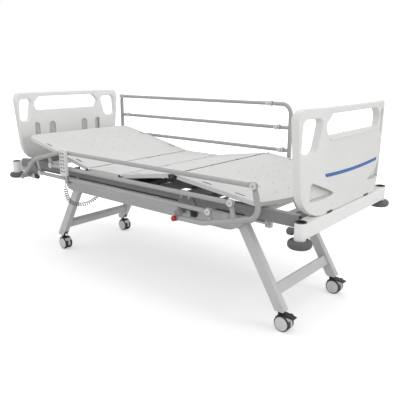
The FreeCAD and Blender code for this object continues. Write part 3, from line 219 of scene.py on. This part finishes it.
def smooth_route(points, name):
    """Points read along a smooth spline that has the route's points as its controls."""
    curve = bpy.data.curves.new(name, "CURVE")
    curve.dimensions = "3D"
    spline = curve.splines.new("NURBS")
    spline.points.add(len(points) - 1)
    for control, place in zip(spline.points, points):
        control.co = (*place, 1)
    spline.order_u = 3
    spline.use_endpoint_u = True
    spline.resolution_u = GUIDE_STEPS
    guide = bpy.data.objects.new(name, curve)
    scene.collection.objects.link(guide)
    bpy.context.view_layer.update()
    line = bpy.data.meshes.new_from_object(guide)
    places = [vertex.co.copy() for vertex in line.vertices]
    bpy.data.objects.remove(guide)
    bpy.data.meshes.remove(line)
    return places


def length_of(places):
    return sum((b - a).length for a, b in zip(places, places[1:]))


def at_distance(places, distance):
    """The place and direction that far along the points."""
    for a, b in zip(places, places[1:]):
        step = (b - a).length
        if distance <= step and step > 0:
            return a.lerp(b, distance / step), (b - a).normalized()
        distance -= step
    return places[-1].copy(), (places[-1] - places[-2]).normalized()


lead_line = smooth_route(LEAD_ROUTE, "lead_guide")
coil_line = smooth_route(COIL_ROUTE, "coil_guide")
coil_run = length_of(coil_line)
turn_count = round(coil_run / TURN_PITCH)
step_count = turn_count * STEPS_A_TURN
cord_line = lead_line[:-LEAD_POINTS_CUT]
side_way = Vector((1, 0, 0))
for step in range(step_count + 1):
    part_way = step / step_count
    centre, along = at_distance(coil_line, part_way * coil_run)
    side_way = (side_way - along * side_way.dot(along)).normalized()
    up_way = along.cross(side_way)
    angle = part_way * turn_count * 2 * math.pi
    ramp = min(1.0, step / STEPS_A_TURN, (step_count - step) / STEPS_A_TURN)
    reach = ramp * (COIL_THICK - CORD_THICK) / 2
    sideways, upwards = math.cos(angle) * reach, math.sin(angle) * reach
    cord_line.append(centre + side_way * sideways + up_way * upwards)
cord_curve = bpy.data.curves.new("handset_cord", "CURVE")
cord_curve.dimensions = "3D"
cord_curve.bevel_depth = CORD_THICK / 2
cord_curve.bevel_resolution = 3
cord_curve.resolution_u = 2
cord_curve.use_fill_caps = True
cord_spline = cord_curve.splines.new("NURBS")
cord_spline.points.add(len(cord_line) - 1)
for control, place in zip(cord_spline.points, cord_line):
    control.co = (*place, 1)
cord_spline.order_u = 3
cord_spline.use_endpoint_u = True
handset_cord = bpy.data.objects.new("handset_cord", cord_curve)
scene.collection.objects.link(handset_cord)
cord_finish, tint, surface = new_finish("cord_rubber", {"Specular IOR Level": 0.35})
feed(surface, colour=tint.noise(90).mixed((0.20, 0.20, 0.205), (0.28, 0.28, 0.285)),
     roughness=tint.noise(300) * 0.2 + 0.42, normal=bump(tint.noise(1400), 0.15, 0.0004))
cord_curve.materials.append(cord_finish)
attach(handset_cord, "bed")
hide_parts("handset_lead", "handset_coil")
length_of(cord_line)


# Side tubes and cross members: rectangular steel tube, welded, with a satin grey powder coat
# that has the faint skin of an orange. The rails' bracket plates are bolted to the tubes, and
# each wears a pale cover and, below its bolts, a black block that is painted shade of a recess.

def coated(name, light, dark, shine, peel=0.12, fixed=None, edge=0.0012):
    """A powder coat between two near colours, with its orange-peel skin and soft edges."""
    material, tint, surface = new_finish(name, fixed)
    base = tint.noise(5.0, 4.0).stops((0.3, 0.0), (0.7, 1.0)).mixed(dark, light)
    dust = tint.noise(38.0, 3.0).stops((0.4, 0.0), (0.75, 0.3))
    dusty = tuple(0.85 * value + 0.07 for value in light)
    soft = tint.add("ShaderNodeBevel", {"samples": 4}, {"Radius": edge})
    skin = tint.add("ShaderNodeBump", None, {"Height": tint.noise(420.0, 1.0), "Strength": peel,
                                             "Distance": 0.0006, "Normal": soft})
    feed(surface, colour=dust.mixed(base, dusty),
         roughness=tint.noise(22.0, 3.0) * 0.22 + (shine - 0.11), normal=skin)
    return material


def dress(material, *names):
    """The finish put on CAD nodes in place of their own."""
    for name in names:
        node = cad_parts[name]
        node.data.materials.clear()
        node.data.materials.append(material)


def fresh(kind, name, **settings):
    """One new primitive, with nothing else selected."""
    bpy.ops.object.select_all(action="DESELECT")
    getattr(bpy.ops.mesh, "primitive_" + kind + "_add")(**settings)
    piece = bpy.context.object
    piece.name = name
    return piece


def choose(piece, test, kind="FACE"):
    """Edit mode, with only the faces or edges selected that pass the test."""
    bpy.context.view_layer.objects.active = piece
    bpy.ops.object.mode_set(mode="EDIT")
    bpy.ops.mesh.select_mode(type=kind)
    bpy.ops.mesh.select_all(action="DESELECT")
    shape = bmesh.from_edit_mesh(piece.data)
    for item in shape.faces if kind == "FACE" else shape.edges:
        if test(item):
            item.select_set(True)
    bmesh.update_edit_mesh(piece.data)


def settle(piece, place=(0, 0, 0), turn=(0, 0, 0)):
    """Back to object mode, with the piece's place and turn kept in its mesh."""
    bpy.ops.object.mode_set(mode="OBJECT")
    piece.location = place
    piece.rotation_euler = turn
    bpy.ops.object.select_all(action="DESELECT")
    piece.select_set(True)
    bpy.context.view_layer.objects.active = piece
    bpy.ops.object.transform_apply(location=True, rotation=True, scale=True)
    bpy.ops.object.shade_smooth_by_angle(angle=math.radians(40))


def copied(piece, name, place=(0, 0, 0), turn=(0, 0, 0)):
    """A copy with its own mesh, turned about X, Y and Z in that order and then moved."""
    copy = piece.copy()
    copy.data = piece.data.copy()
    copy.name = name
    scene.collection.objects.link(copy)
    spin = (Matrix.Rotation(turn[2], 4, "Z") @ Matrix.Rotation(turn[1], 4, "Y")
            @ Matrix.Rotation(turn[0], 4, "X"))
    copy.data.transform(Matrix.Translation(place) @ spin)
    return copy


def as_one(name, pieces):
    """The pieces joined into one mesh."""
    bpy.ops.object.select_all(action="DESELECT")
    for piece in pieces:
        piece.select_set(True)
    bpy.context.view_layer.objects.active = pieces[0]
    bpy.ops.object.join()
    pieces[0].name = name
    return pieces[0]


def mount(piece, body, slot, *finishes):
    """The piece finished and fixed to its body."""
    for finish in finishes:
        piece.data.materials.append(finish)
    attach(piece, body)


def soft_box(name, size, place, rim, turn=(0, 0, 0), segments=3):
    """A block with rounded edges, its middle at the place."""
    piece = fresh("cube", name, size=1)
    piece.scale = size
    bpy.ops.object.transform_apply(scale=True)
    choose(piece, lambda e: True, "EDGE")
    bpy.ops.mesh.bevel(offset=rim, segments=segments, affect="EDGES")
    settle(piece, place, turn)
    return piece


def round_bar(name, radius, length, rim, sides=32):
    """An upright disc or bar on the floor of its own space, its top rim rounded."""
    piece = fresh("cylinder", name, vertices=sides, radius=radius, depth=length,
                  location=(0, 0, length / 2))
    bpy.ops.object.transform_apply(location=True)
    if rim:
        choose(piece, lambda e: all(v.co.z > length * 0.99 for v in e.verts), "EDGE")
        bpy.ops.mesh.bevel(offset=rim, segments=3, affect="EDGES")
    settle(piece)
    return piece


def hexagon_bolt(name, radius, height):
    """A washer and a hexagon head, standing up from the face that they hold."""
    washer = round_bar("washer", radius * 1.45, height * 0.25, height * 0.06)
    head = fresh("cylinder", "head", vertices=6, radius=radius, depth=height,
                 location=(0, 0, height * 0.7))
    bpy.ops.object.transform_apply(location=True)
    choose(head, lambda f: f.normal.z > 0.9)
    bpy.ops.mesh.inset(thickness=radius * 0.16)
    bpy.ops.transform.translate(value=(0, 0, height * 0.07))
    settle(head)
    return as_one(name, [washer, head])


BRACKET_FACE_Y = 0.403
RAIL_PIVOTS_X = (0.431, -0.909)
BOLT_SHIFT, BOLT_Z = 0.024, 0.586
PLATE_STEP = 0.004
COVER_SIZE, COVER_SHIFT, COVER_Z = (0.082, 0.008, 0.028), -0.006, 0.512
# The black blocks below the covers are painted shade of the brackets' recesses.
BRACKET_SHADE_SIZE, BRACKET_SHADE_SHIFT, BRACKET_SHADE_Z = (0.034, 0.010, 0.030), 0.058, 0.515
frame_grey = coated("frame_grey", (0.235, 0.236, 0.237), (0.21, 0.211, 0.212), 0.45)
dress(frame_grey, "bed_frame", "rail_brackets")
zinc = coated("zinc", (0.58, 0.58, 0.59), (0.50, 0.50, 0.51), 0.35, fixed={"Metallic": 1.0})
dress(zinc, "hinge_pins", "handset_holder", "back_rod", "knee_rod", "foot_lift_rod", "head_lift_rod")
small_bolt = hexagon_bolt("small_bolt", 0.0062, 0.005)
bolts, covers, bracket_shades = [], [], []
for pivot_x in RAIL_PIVOTS_X:
    for side in (-1, 1):
        for shift in (-BOLT_SHIFT, BOLT_SHIFT):
            bolts.append(copied(small_bolt, "bracket_bolt",
                                (pivot_x + shift, side * BRACKET_FACE_Y, BOLT_Z),
                                (side * -math.pi / 2, 0, 0)))
        face_y = side * (BRACKET_FACE_Y + PLATE_STEP)
        covers.append(soft_box("cover", COVER_SIZE, (pivot_x + COVER_SHIFT, face_y, COVER_Z), 0.0025))
        bracket_shades.append(soft_box("recess", BRACKET_SHADE_SIZE, (pivot_x + BRACKET_SHADE_SHIFT, face_y, BRACKET_SHADE_Z), 0.004))
mount(as_one("bracket_bolts", bolts), "bed", "steel", zinc)
cover_grey = coated("cover_grey", (0.62, 0.62, 0.61), (0.57, 0.57, 0.56), 0.4)
mount(as_one("bracket_covers", covers), "bed", "frame_paint", cover_grey)
# Black plastic for the real black parts, also used for the pieces of painted shade.
black_plastic = coated("black_plastic", (0.022, 0.022, 0.024), (0.016, 0.016, 0.017), 0.45)
mount(as_one("bracket_recess_shades", bracket_shades), "bed", "black_plastic", black_plastic)


# Leg channels: a pressed steel channel under each side tube, in a lighter grey. The legs'
# pivot shafts end in it under large hexagon heads. A thin dark blue strip on the tube above
# it is painted shade of the gap between tube and channel.

PIVOTS_X, PIVOT_Z = (-0.58467, 0.66867), 0.500
CHANNEL_FACE_Y = 0.350
CHANNEL_LOW = 0.070
CHANNEL_MIDDLE, CHANNEL_STRAIGHT = 0.042, 0.6035
EDGE_LIFT = 0.026
END_PULL = 0.026
channel_grey = coated("channel_grey", (0.55, 0.552, 0.552), (0.51, 0.512, 0.512), 0.46)
dress(channel_grey, "leg_channels")

# The pressing is the solid's own shape, with its lower edge lifted and its ends drawn in.
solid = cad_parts["leg_channels"]
pressing = bpy.data.objects.new("leg_channel_pressings", solid.data.copy())
scene.collection.objects.link(pressing)
choose(pressing, lambda f: True)
bpy.ops.mesh.remove_doubles(threshold=0.00002)
shape = bmesh.from_edit_mesh(pressing.data)
for corner in shape.verts:
    below = max(0.0, (PIVOT_Z - corner.co.z) / CHANNEL_LOW)
    corner.co.z += EDGE_LIFT * below * below
    off_middle = corner.co.x - CHANNEL_MIDDLE
    if abs(off_middle) > CHANNEL_STRAIGHT:
        corner.co.x -= math.copysign(END_PULL, off_middle)
bmesh.update_edit_mesh(pressing.data)
settle(pressing)
mount(pressing, "bed", "frame_paint", channel_grey)
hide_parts("leg_channels")

large_bolt = hexagon_bolt("large_bolt", 0.0125, 0.008)
bolts = []
for pivot_x in PIVOTS_X:
    for side in (-1, 1):
        bolts.append(copied(large_bolt, "pivot_bolt", (pivot_x, side * CHANNEL_FACE_Y, PIVOT_Z),
                            (side * -math.pi / 2, 0, 0)))
mount(as_one("leg_pivot_bolts", bolts), "bed", "steel", zinc)

# A dark blue strip along each side tube: painted shade of the gap between tube and channel.
STRIP_FACE_Y, STRIP_Z = 0.3962, 0.5605
STRIP_THICK, STRIP_TALL = 0.003, 0.007
STRIP_RUNS = ((-0.826, -0.446), (-0.418, 0.394), (0.616, 0.772))
gap_shade_blue = coated("gap_shade_blue", (0.015, 0.025, 0.06), (0.010, 0.017, 0.045), 0.35)
for side, side_name in ((-1, "right"), (1, "left")):
    gap_shade_strips = []
    for start, end in STRIP_RUNS:
        middle = ((start + end) / 2, side * STRIP_FACE_Y, STRIP_Z)
        gap_shade_strips.append(soft_box("strip", (end - start, STRIP_THICK, STRIP_TALL), middle, 0.001))
    mount(as_one(side_name + "_tube_strip", gap_shade_strips), "bed", "frame_paint", gap_shade_blue)


# Crossbars: a white rectangular tube at each end, with a round socket tube at both corners.
# Black bushes line the sockets, rubber bumper discs hang under them.

crossbar_white = coated("crossbar_white", (0.88, 0.88, 0.87), (0.84, 0.84, 0.83), 0.36)
dress(crossbar_white, "crossbars")
dress(black_plastic, "socket_bushes", "cord_gland", "foot_caster_carriers", "head_caster_carriers",
      "foot_right_brake_pedal", "foot_left_brake_pedal")
bumper_rubber = coated("bumper_rubber", (0.12, 0.12, 0.12), (0.09, 0.09, 0.09), 0.62, edge=0.003)
dress(bumper_rubber, "corner_bumpers")


# Lying surface: four pressed steel panels with turned lips, coated in a fine matt light grey,
# on dark tubular sub-frames that hinge on zinc pins. Black discs and plates in the vent holes
# and strap slots are painted shade of the dark seen through them.

HINGE_Z = 0.634
BACK_HINGE_X, THIGH_HINGE_X = -0.285, -0.010
HINGE_CAP_Y, HINGE_CAP_Z = 0.430, 0.630
THIGH_LENGTH = 0.378
BACK_TURN, THIGH_TURN, CALF_TURN = math.radians(12.0), math.radians(8.3), math.radians(6.8)
KNEE_X = THIGH_HINGE_X + THIGH_LENGTH * math.cos(THIGH_TURN)
KNEE_Z = HINGE_Z + THIGH_LENGTH * math.sin(THIGH_TURN)
HOLE_SHADE_Z = 0.0026
STRAP_SLOT_Y = 0.390
panel_grey = coated("panel_grey", (0.69, 0.69, 0.68), (0.65, 0.65, 0.64), 0.5, edge=0.0025)
dress(panel_grey, "seat_panel", "back_panel", "thigh_panel", "calf_panel")
dark_steel = coated("dark_steel", (0.075, 0.077, 0.08), (0.055, 0.056, 0.06), 0.45)
dress(dark_steel, "back_frame", "thigh_frame", "calf_frame")
hinge_cap = round_bar("hinge_cap", 0.0105, 0.0035, 0.0015)
caps = []
for hinge_x in (BACK_HINGE_X, THIGH_HINGE_X):
    for side in (-1, 1):
        caps.append(copied(hinge_cap, "cap", (hinge_x, side * HINGE_CAP_Y, HINGE_CAP_Z),
                           (side * -math.pi / 2, 0, 0)))
mount(as_one("hinge_end_caps", caps), "bed", "black_plastic", black_plastic)

# Black discs and plates in the vent holes and strap slots are painted shade, the dark under the panels.
vent_hole_shade = round_bar("vent_hole_shade", 0.0039, 0.003, 0.0003, 16)
slot_hole_shade = soft_box("slot_hole_shade", (0.0655, 0.0096, 0.003), (0, 0, 0.0015), 0.0004, segments=1)
PANELS = (
    ("back_section", BACK_HINGE_X, HINGE_Z, BACK_TURN, (-0.520, -0.420, -0.330, -0.240),
     (-0.150, -0.050, 0.050, 0.150, 0.250), (-0.130, -0.430)),
    ("thigh_section", THIGH_HINGE_X, HINGE_Z, -THIGH_TURN, (), (), (0.090,)),
    ("calf_section", KNEE_X, KNEE_Z, CALF_TURN, (0.170, 0.270, 0.370, 0.460),
     (-0.220, -0.110, 0.0, 0.110, 0.220), (0.190, 0.380)),
)
for body, hinge_x, hinge_z, angle, columns, rows, slots in PANELS:
    hole_shade_pieces = [copied(vent_hole_shade, "painted_shade_piece", (x, y, HOLE_SHADE_Z)) for x in columns for y in rows]
    hole_shade_pieces += [copied(slot_hole_shade, "painted_shade_piece", (x, y, HOLE_SHADE_Z))
              for x in slots for y in (-STRAP_SLOT_Y, STRAP_SLOT_Y)]
    hole_shade_set = as_one(body + "_hole_plugs", hole_shade_pieces)
    hole_shade_set.data.transform(Matrix.Translation((hinge_x, 0, hinge_z)) @ Matrix.Rotation(angle, 4, "Y"))
    mount(hole_shade_set, body, "black_plastic", black_plastic)


# End boards: moulded off-white plastic with swept wings, soft rims and a ledge under the grip
# slot. The footboard has a blue stripe inlay, finger recesses with painted shade, and two black
# plates over its feet that are painted shade of the gaps there; the headboard has four arched
# pockets lined with grey that is painted shade.

BOARD_COAT = ((0.79, 0.79, 0.775), (0.76, 0.76, 0.745), 0.42)
BOARD_FACE_X = 1.080
LEDGE_DEEP, LEDGE_TALL, LEDGE_STEP, LEDGE_Z = 0.016, 0.012, 0.001, 0.9065
board_white = coated("board_white", *BOARD_COAT, edge=0.004)
dress(board_white, "headboard")
stripe_blue = coated("stripe_blue", (0.022, 0.125, 0.42), (0.016, 0.11, 0.38), 0.3)
dress(stripe_blue, "footboard_stripe")
for board_name, outward, half in (("footboard", 1, 0.250), ("headboard", -1, 0.230)):
    ledge_place = (outward * (BOARD_FACE_X + LEDGE_STEP), 0, LEDGE_Z)
    ledge = soft_box(board_name + "_ledge", (LEDGE_DEEP, 2 * half, LEDGE_TALL), ledge_place, 0.0045)
    mount(ledge, board_name, "board", board_white)


def shaded(material, mask, tone):
    """The same finish, going over to a darker tone where the mask is 1: painted shade."""
    surface = material.node_tree.nodes["Principled BSDF"]
    base = Tint(material.node_tree, surface.inputs["Base Color"].links[0].from_socket)
    feed(surface, colour=mask.mixed(base, tone))


# A finger recess is a triangle with a cut corner. It gets painted shade below its upper slope
# and in a narrow band along its lower edge.
RECESS_FLOOR_X, RECESS_NEAR_Y, RECESS_FAR_Y, RECESS_LOW_Z = 1.0465, 0.168, 0.353, 0.668
UPPER_SLOPE, LOWER_SLOPE = 0.392, 0.048
TIP_ROUNDING, CORNER_CUT = 0.013, 0.2436
RIM_SHARPNESS, SHADE_RATE = 100, 20
footboard_white_and_shade = coated("footboard_white_and_shade", *BOARD_COAT, edge=0.004)
depth, across, height = Tint(footboard_white_and_shade.node_tree).split()
run = depth.maths("ABSOLUTE", across, 0.0) - RECESS_NEAR_Y
under = run * UPPER_SLOPE + RECESS_LOW_Z - height
above = height - RECESS_LOW_Z + run * LOWER_SLOPE
ends = depth.maths("MINIMUM", (RECESS_FAR_Y - RECESS_NEAR_Y) - run, run - TIP_ROUNDING)
cut_corner = (CORNER_CUT + RECESS_LOW_Z) - height - run
within = depth.maths("MINIMUM", depth.maths("MINIMUM", under, above),
                     depth.maths("MINIMUM", ends, cut_corner))
inside = ((within * RIM_SHARPNESS + 0.5).stops((0.42, 0.0), (0.5, 1.0))
          * depth.maths("GREATER_THAN", depth, RECESS_FLOOR_X))
upper_shade = (under * SHADE_RATE).stops((0.0, 1.0), (0.75, 0.1))
lower_shade = (above * SHADE_RATE).stops((0.07, 0.9), (0.12, 0.0))
recess_shade = depth.maths("MAXIMUM", upper_shade, lower_shade)
# The recesses' painted shade: the board's white goes over to grey inside them.
shaded(footboard_white_and_shade, inside * recess_shade, (0.47, 0.47, 0.46))
dress(footboard_white_and_shade, "footboard")

# Two small black plates low on the footboard's face, over its feet, are painted shade of the gaps there.
FOOT_SHADE_SIZE, FOOT_SHADE_X, FOOT_SHADE_Z = (0.003, 0.046, 0.008), 1.0812, 0.5948
foot_gap_shades = [soft_box("foot_gap_shade", FOOT_SHADE_SIZE, (FOOT_SHADE_X, y, FOOT_SHADE_Z), 0.001) for y in (-0.210, 0.175)]
mount(as_one("footboard_foot_gap_shades", foot_gap_shades), "footboard", "black_plastic", black_plastic)

# Grey arch plates in the headboard's pockets are painted shade of the recesses.
ARCH_X, ARCH_Z = -1.0525, 0.810
ARCH_RADIUS, ARCH_REACH = 0.0246, 0.070
arch_pocket_shade = coated("arch_pocket_shade", (0.52, 0.52, 0.51), (0.48, 0.48, 0.47), 0.5)
arches = []
for arch_y in (-0.257, -0.134, 0.134, 0.257):
    arch = round_bar("arch", ARCH_RADIUS, 0.001, 0)
    choose(arch, lambda f: False)
    shape = bmesh.from_edit_mesh(arch.data)
    for corner in shape.verts:
        if corner.co.x > 0.001:
            corner.co.x = ARCH_REACH
    bmesh.update_edit_mesh(arch.data)
    settle(arch, (ARCH_X, arch_y, ARCH_Z), (0, math.pi / 2, 0))
    arches.append(arch)
mount(as_one("headboard_arch_shades", arches), "headboard", "board", arch_pocket_shade)


# Legs: rectangular steel legs joined by a tie tube, in a light grey powder coat. Their tops
# turn on shafts in the channels, and their lower ends hold the caster carriers.

leg_grey = coated("leg_grey", (0.62, 0.62, 0.62), (0.57, 0.57, 0.57), 0.40)
dress(leg_grey, "foot_leg_frame", "head_leg_frame")


# Casters: twin wheels 80 mm across with a thin black tyre and a light moulded disc, on a pale
# housing under a black hood. The foot casters have a black brake pedal.

HOOD_LOW, HOOD_HIGH = 0.0755, 0.0765
tyre_black = coated("tyre_black", (0.03, 0.03, 0.03), (0.02, 0.02, 0.02), 0.6)
disc_grey = coated("disc_grey", (0.74, 0.74, 0.74), (0.68, 0.68, 0.68), 0.38)
material, tint, surface = new_finish("caster_housing")
hood = tint.split()[2].stops((HOOD_LOW, 0.0), (HOOD_HIGH, 1.0))
feed(surface, colour=hood.mixed((0.62, 0.62, 0.62), (0.018, 0.018, 0.019)),
     roughness=tint.noise(60.0) * 0.15 + 0.33, normal=bump(tint.noise(500.0, 1.0), 0.12, 0.0005))
dress(material, *(end + "_" + side + "_caster_fork"
                  for end in ("head", "foot") for side in ("right", "left")))

WHEEL = 0.040
WHEEL_TRAIL = 0.020
TYRE_WIDE, TYRE_MIDDLE, TYRE_ROUND = 0.019, 0.0165, 0.0042
TYRE_WALL = 0.0022
DISC_RADIUS, DISC_THICK, DISC_MIDDLE = 0.0334, 0.0035, 0.0256
DISC_STEPS = ((0.0022, 0.0), (0.0012, -0.0011), (0.0115, 0.0005), (0.0020, 0.0009), (0.0075, 0.0007))
STEMS = (("head", -0.813), ("foot", 0.897))
STEM_Y = 0.265


def side_wall(f):
    return abs(f.normal.z) > 0.99 and f.calc_area() > 0.001


tyre = fresh("cylinder", "tyre", vertices=64, radius=WHEEL, depth=TYRE_WIDE,
             location=(0, 0, TYRE_MIDDLE))
bpy.ops.object.transform_apply(location=True)
choose(tyre, lambda e: abs(e.verts[0].co.z - e.verts[1].co.z) < 1e-5, "EDGE")
bpy.ops.mesh.bevel(offset=TYRE_ROUND, segments=4, affect="EDGES")
choose(tyre, side_wall)
bpy.ops.mesh.inset(thickness=TYRE_WALL)
choose(tyre, side_wall)
bpy.ops.mesh.extrude_region_shrink_fatten(TRANSFORM_OT_shrink_fatten={"value": -TYRE_WALL})
settle(tyre)
tyre.data.materials.append(tyre_black)
disc = fresh("cylinder", "disc", vertices=64, radius=DISC_RADIUS, depth=DISC_THICK,
             location=(0, 0, DISC_MIDDLE))
bpy.ops.object.transform_apply(location=True)
for inset_by, raise_by in DISC_STEPS:
    choose(disc, lambda f: f.normal.z > 0.9 and len(f.verts) > 20)
    bpy.ops.mesh.inset(thickness=inset_by)
    bpy.ops.transform.translate(value=(0, 0, raise_by))
settle(disc)
disc.data.materials.append(disc_grey)
for end, stem_x in STEMS:
    for side_name, stem_y in (("right", -STEM_Y), ("left", STEM_Y)):
        wheel_place = (stem_x + WHEEL_TRAIL, stem_y, WHEEL)
        halves = []
        for piece in (tyre, disc):
            for quarter in (-math.pi / 2, math.pi / 2):
                halves.append(copied(piece, "half", wheel_place, (quarter, 0, 0)))
        wheels = as_one(end + "_" + side_name + "_wheel_pair", halves)
        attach(wheels, end + "_" + side_name + "_wheels")
        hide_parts(end + "_" + side_name + "_wheels")


# Side rails: bent steel tube posts and three straight tubes in a satin grey. Each bar's joints
# wear pale plastic caps, round outside and long inside, with a dark screw in the middle.

RAIL_Y, RAIL_PIVOT_Z, RAIL_SPAN = 0.455, 0.523, 1.340
RAIL_SWING = math.radians(75.7)
BAR_PINS = (("top", -0.081, 0.461), ("middle", -0.021, 0.324), ("low", 0.009, 0.190))
CAP_THICK, CAP_RIM = 0.0032, 0.0014
CAP_SHIFT = 0.0095
SHELL_REACH = 0.018
rail_grey = coated("rail_grey", (0.42, 0.422, 0.422), (0.38, 0.382, 0.382), 0.5)
dress(rail_grey, *(side + "_rail_" + part for side in ("right", "left")
                   for part in ("foot_post", "head_post", "top_bar", "middle_bar", "low_bar")))
cap_white = coated("cap_white", (0.66, 0.66, 0.65), (0.62, 0.62, 0.61), 0.4)
cheek = round_bar("cheek", 0.0162, CAP_THICK, CAP_RIM)
cheek.data.materials.append(cap_white)
shell = round_bar("shell", 0.0134, CAP_THICK, CAP_RIM)
for corner in shell.data.vertices:
    if corner.co.x > 0.001:
        corner.co.x += SHELL_REACH
shell.data.materials.append(cap_white)
screw = round_bar("screw", 0.0030, 0.0040, 0.0005, 12)
screw.data.materials.append(black_plastic)
for side_name, side, angle in (("right", -1, RAIL_SWING), ("left", 1, 0.0)):
    for bar_name, pin_x, pin_z in BAR_PINS:
        x = RAIL_PIVOTS_X[0] + pin_x * math.cos(angle) + pin_z * math.sin(angle)
        z = RAIL_PIVOT_Z + pin_z * math.cos(angle) - pin_x * math.sin(angle)
        ends = []
        for end_x, half_turn in ((x, math.pi), (x - RAIL_SPAN, 0)):
            for face in (-1, 1):
                for piece in (cheek if face == side else shell, screw):
                    ends.append(copied(piece, "end", (end_x, side * RAIL_Y + face * CAP_SHIFT, z),
                                       (face * -math.pi / 2, half_turn, 0)))
        cheeks = as_one(side_name + "_" + bar_name + "_bar_ends", ends)
        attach(cheeks, side_name + "_rail_" + bar_name + "_bar")
knob_red = coated("knob_red", (0.50, 0.02, 0.02), (0.42, 0.015, 0.015), 0.25)
dress(knob_red, "right_rail_lock_knob", "left_rail_lock_knob")


# Drives: linear actuators and a control box in dark grey plastic under the seat. A battery box
# with a lid and two cable sockets hangs opposite the control box, under the same cross members.

BATTERY_X, BATTERY_Y, BATTERY_Z = -0.105, -0.168, 0.537
RIB_SHIFT, RIB_Y = 0.045, -0.243
SOCKET_X, SOCKETS_Y = -0.004, (-0.200, -0.136)
motor_grey = coated("motor_grey", (0.09, 0.092, 0.098), (0.07, 0.072, 0.076), 0.45)
dress(motor_grey, "actuator_motors", "control_box")
battery = [soft_box("tub", (0.206, 0.148, 0.038), (BATTERY_X, BATTERY_Y, BATTERY_Z), 0.007),
           soft_box("lid", (0.212, 0.154, 0.008), (BATTERY_X, BATTERY_Y, 0.5605), 0.0025)]
for shift in (-RIB_SHIFT, 0, RIB_SHIFT):
    battery.append(soft_box("rib", (0.006, 0.004, 0.030), (BATTERY_X + shift, RIB_Y, BATTERY_Z), 0.0015))
for socket_y in SOCKETS_Y:
    cable_socket = round_bar("socket", 0.011, 0.014, 0.002, 20)
    cable_socket.data.transform(Matrix.Translation((SOCKET_X, socket_y, BATTERY_Z))
                                @ Matrix.Rotation(math.pi / 2, 4, "Y"))
    battery.append(cable_socket)
mount(as_one("battery_box", battery), "bed", "housing", motor_grey)


# Handset: an off-white moulded shell that hangs on a steel strip. Its six two-way rubber keys
# each have a pair of dark dots on their faces.

DOT_FACE_Y = -0.4909
handset_white = coated("handset_white", (0.74, 0.74, 0.72), (0.71, 0.71, 0.69), 0.4)
dress(handset_white, "handset")
material, tint, surface = new_finish("handset_keys")
dots = tint.maths("LESS_THAN", tint.split()[1], DOT_FACE_Y)
rubber = tint.noise(60.0).mixed((0.62, 0.62, 0.60), (0.66, 0.66, 0.64))
feed(surface, colour=dots.mixed(rubber, (0.10, 0.10, 0.105)), roughness=tint.noise(90.0) * 0.15 + 0.45,
     normal=bump(tint.noise(700.0), 0.12, 0.0004))
dress(material, *("handset_key_" + str(row) for row in range(1, 7)))

# The shapes that were only there to be copied.
for spare in (small_bolt, large_bolt, hinge_cap, vent_hole_shade, slot_hole_shade, tyre, disc, cheek, shell, screw):
    bpy.data.objects.remove(spare)
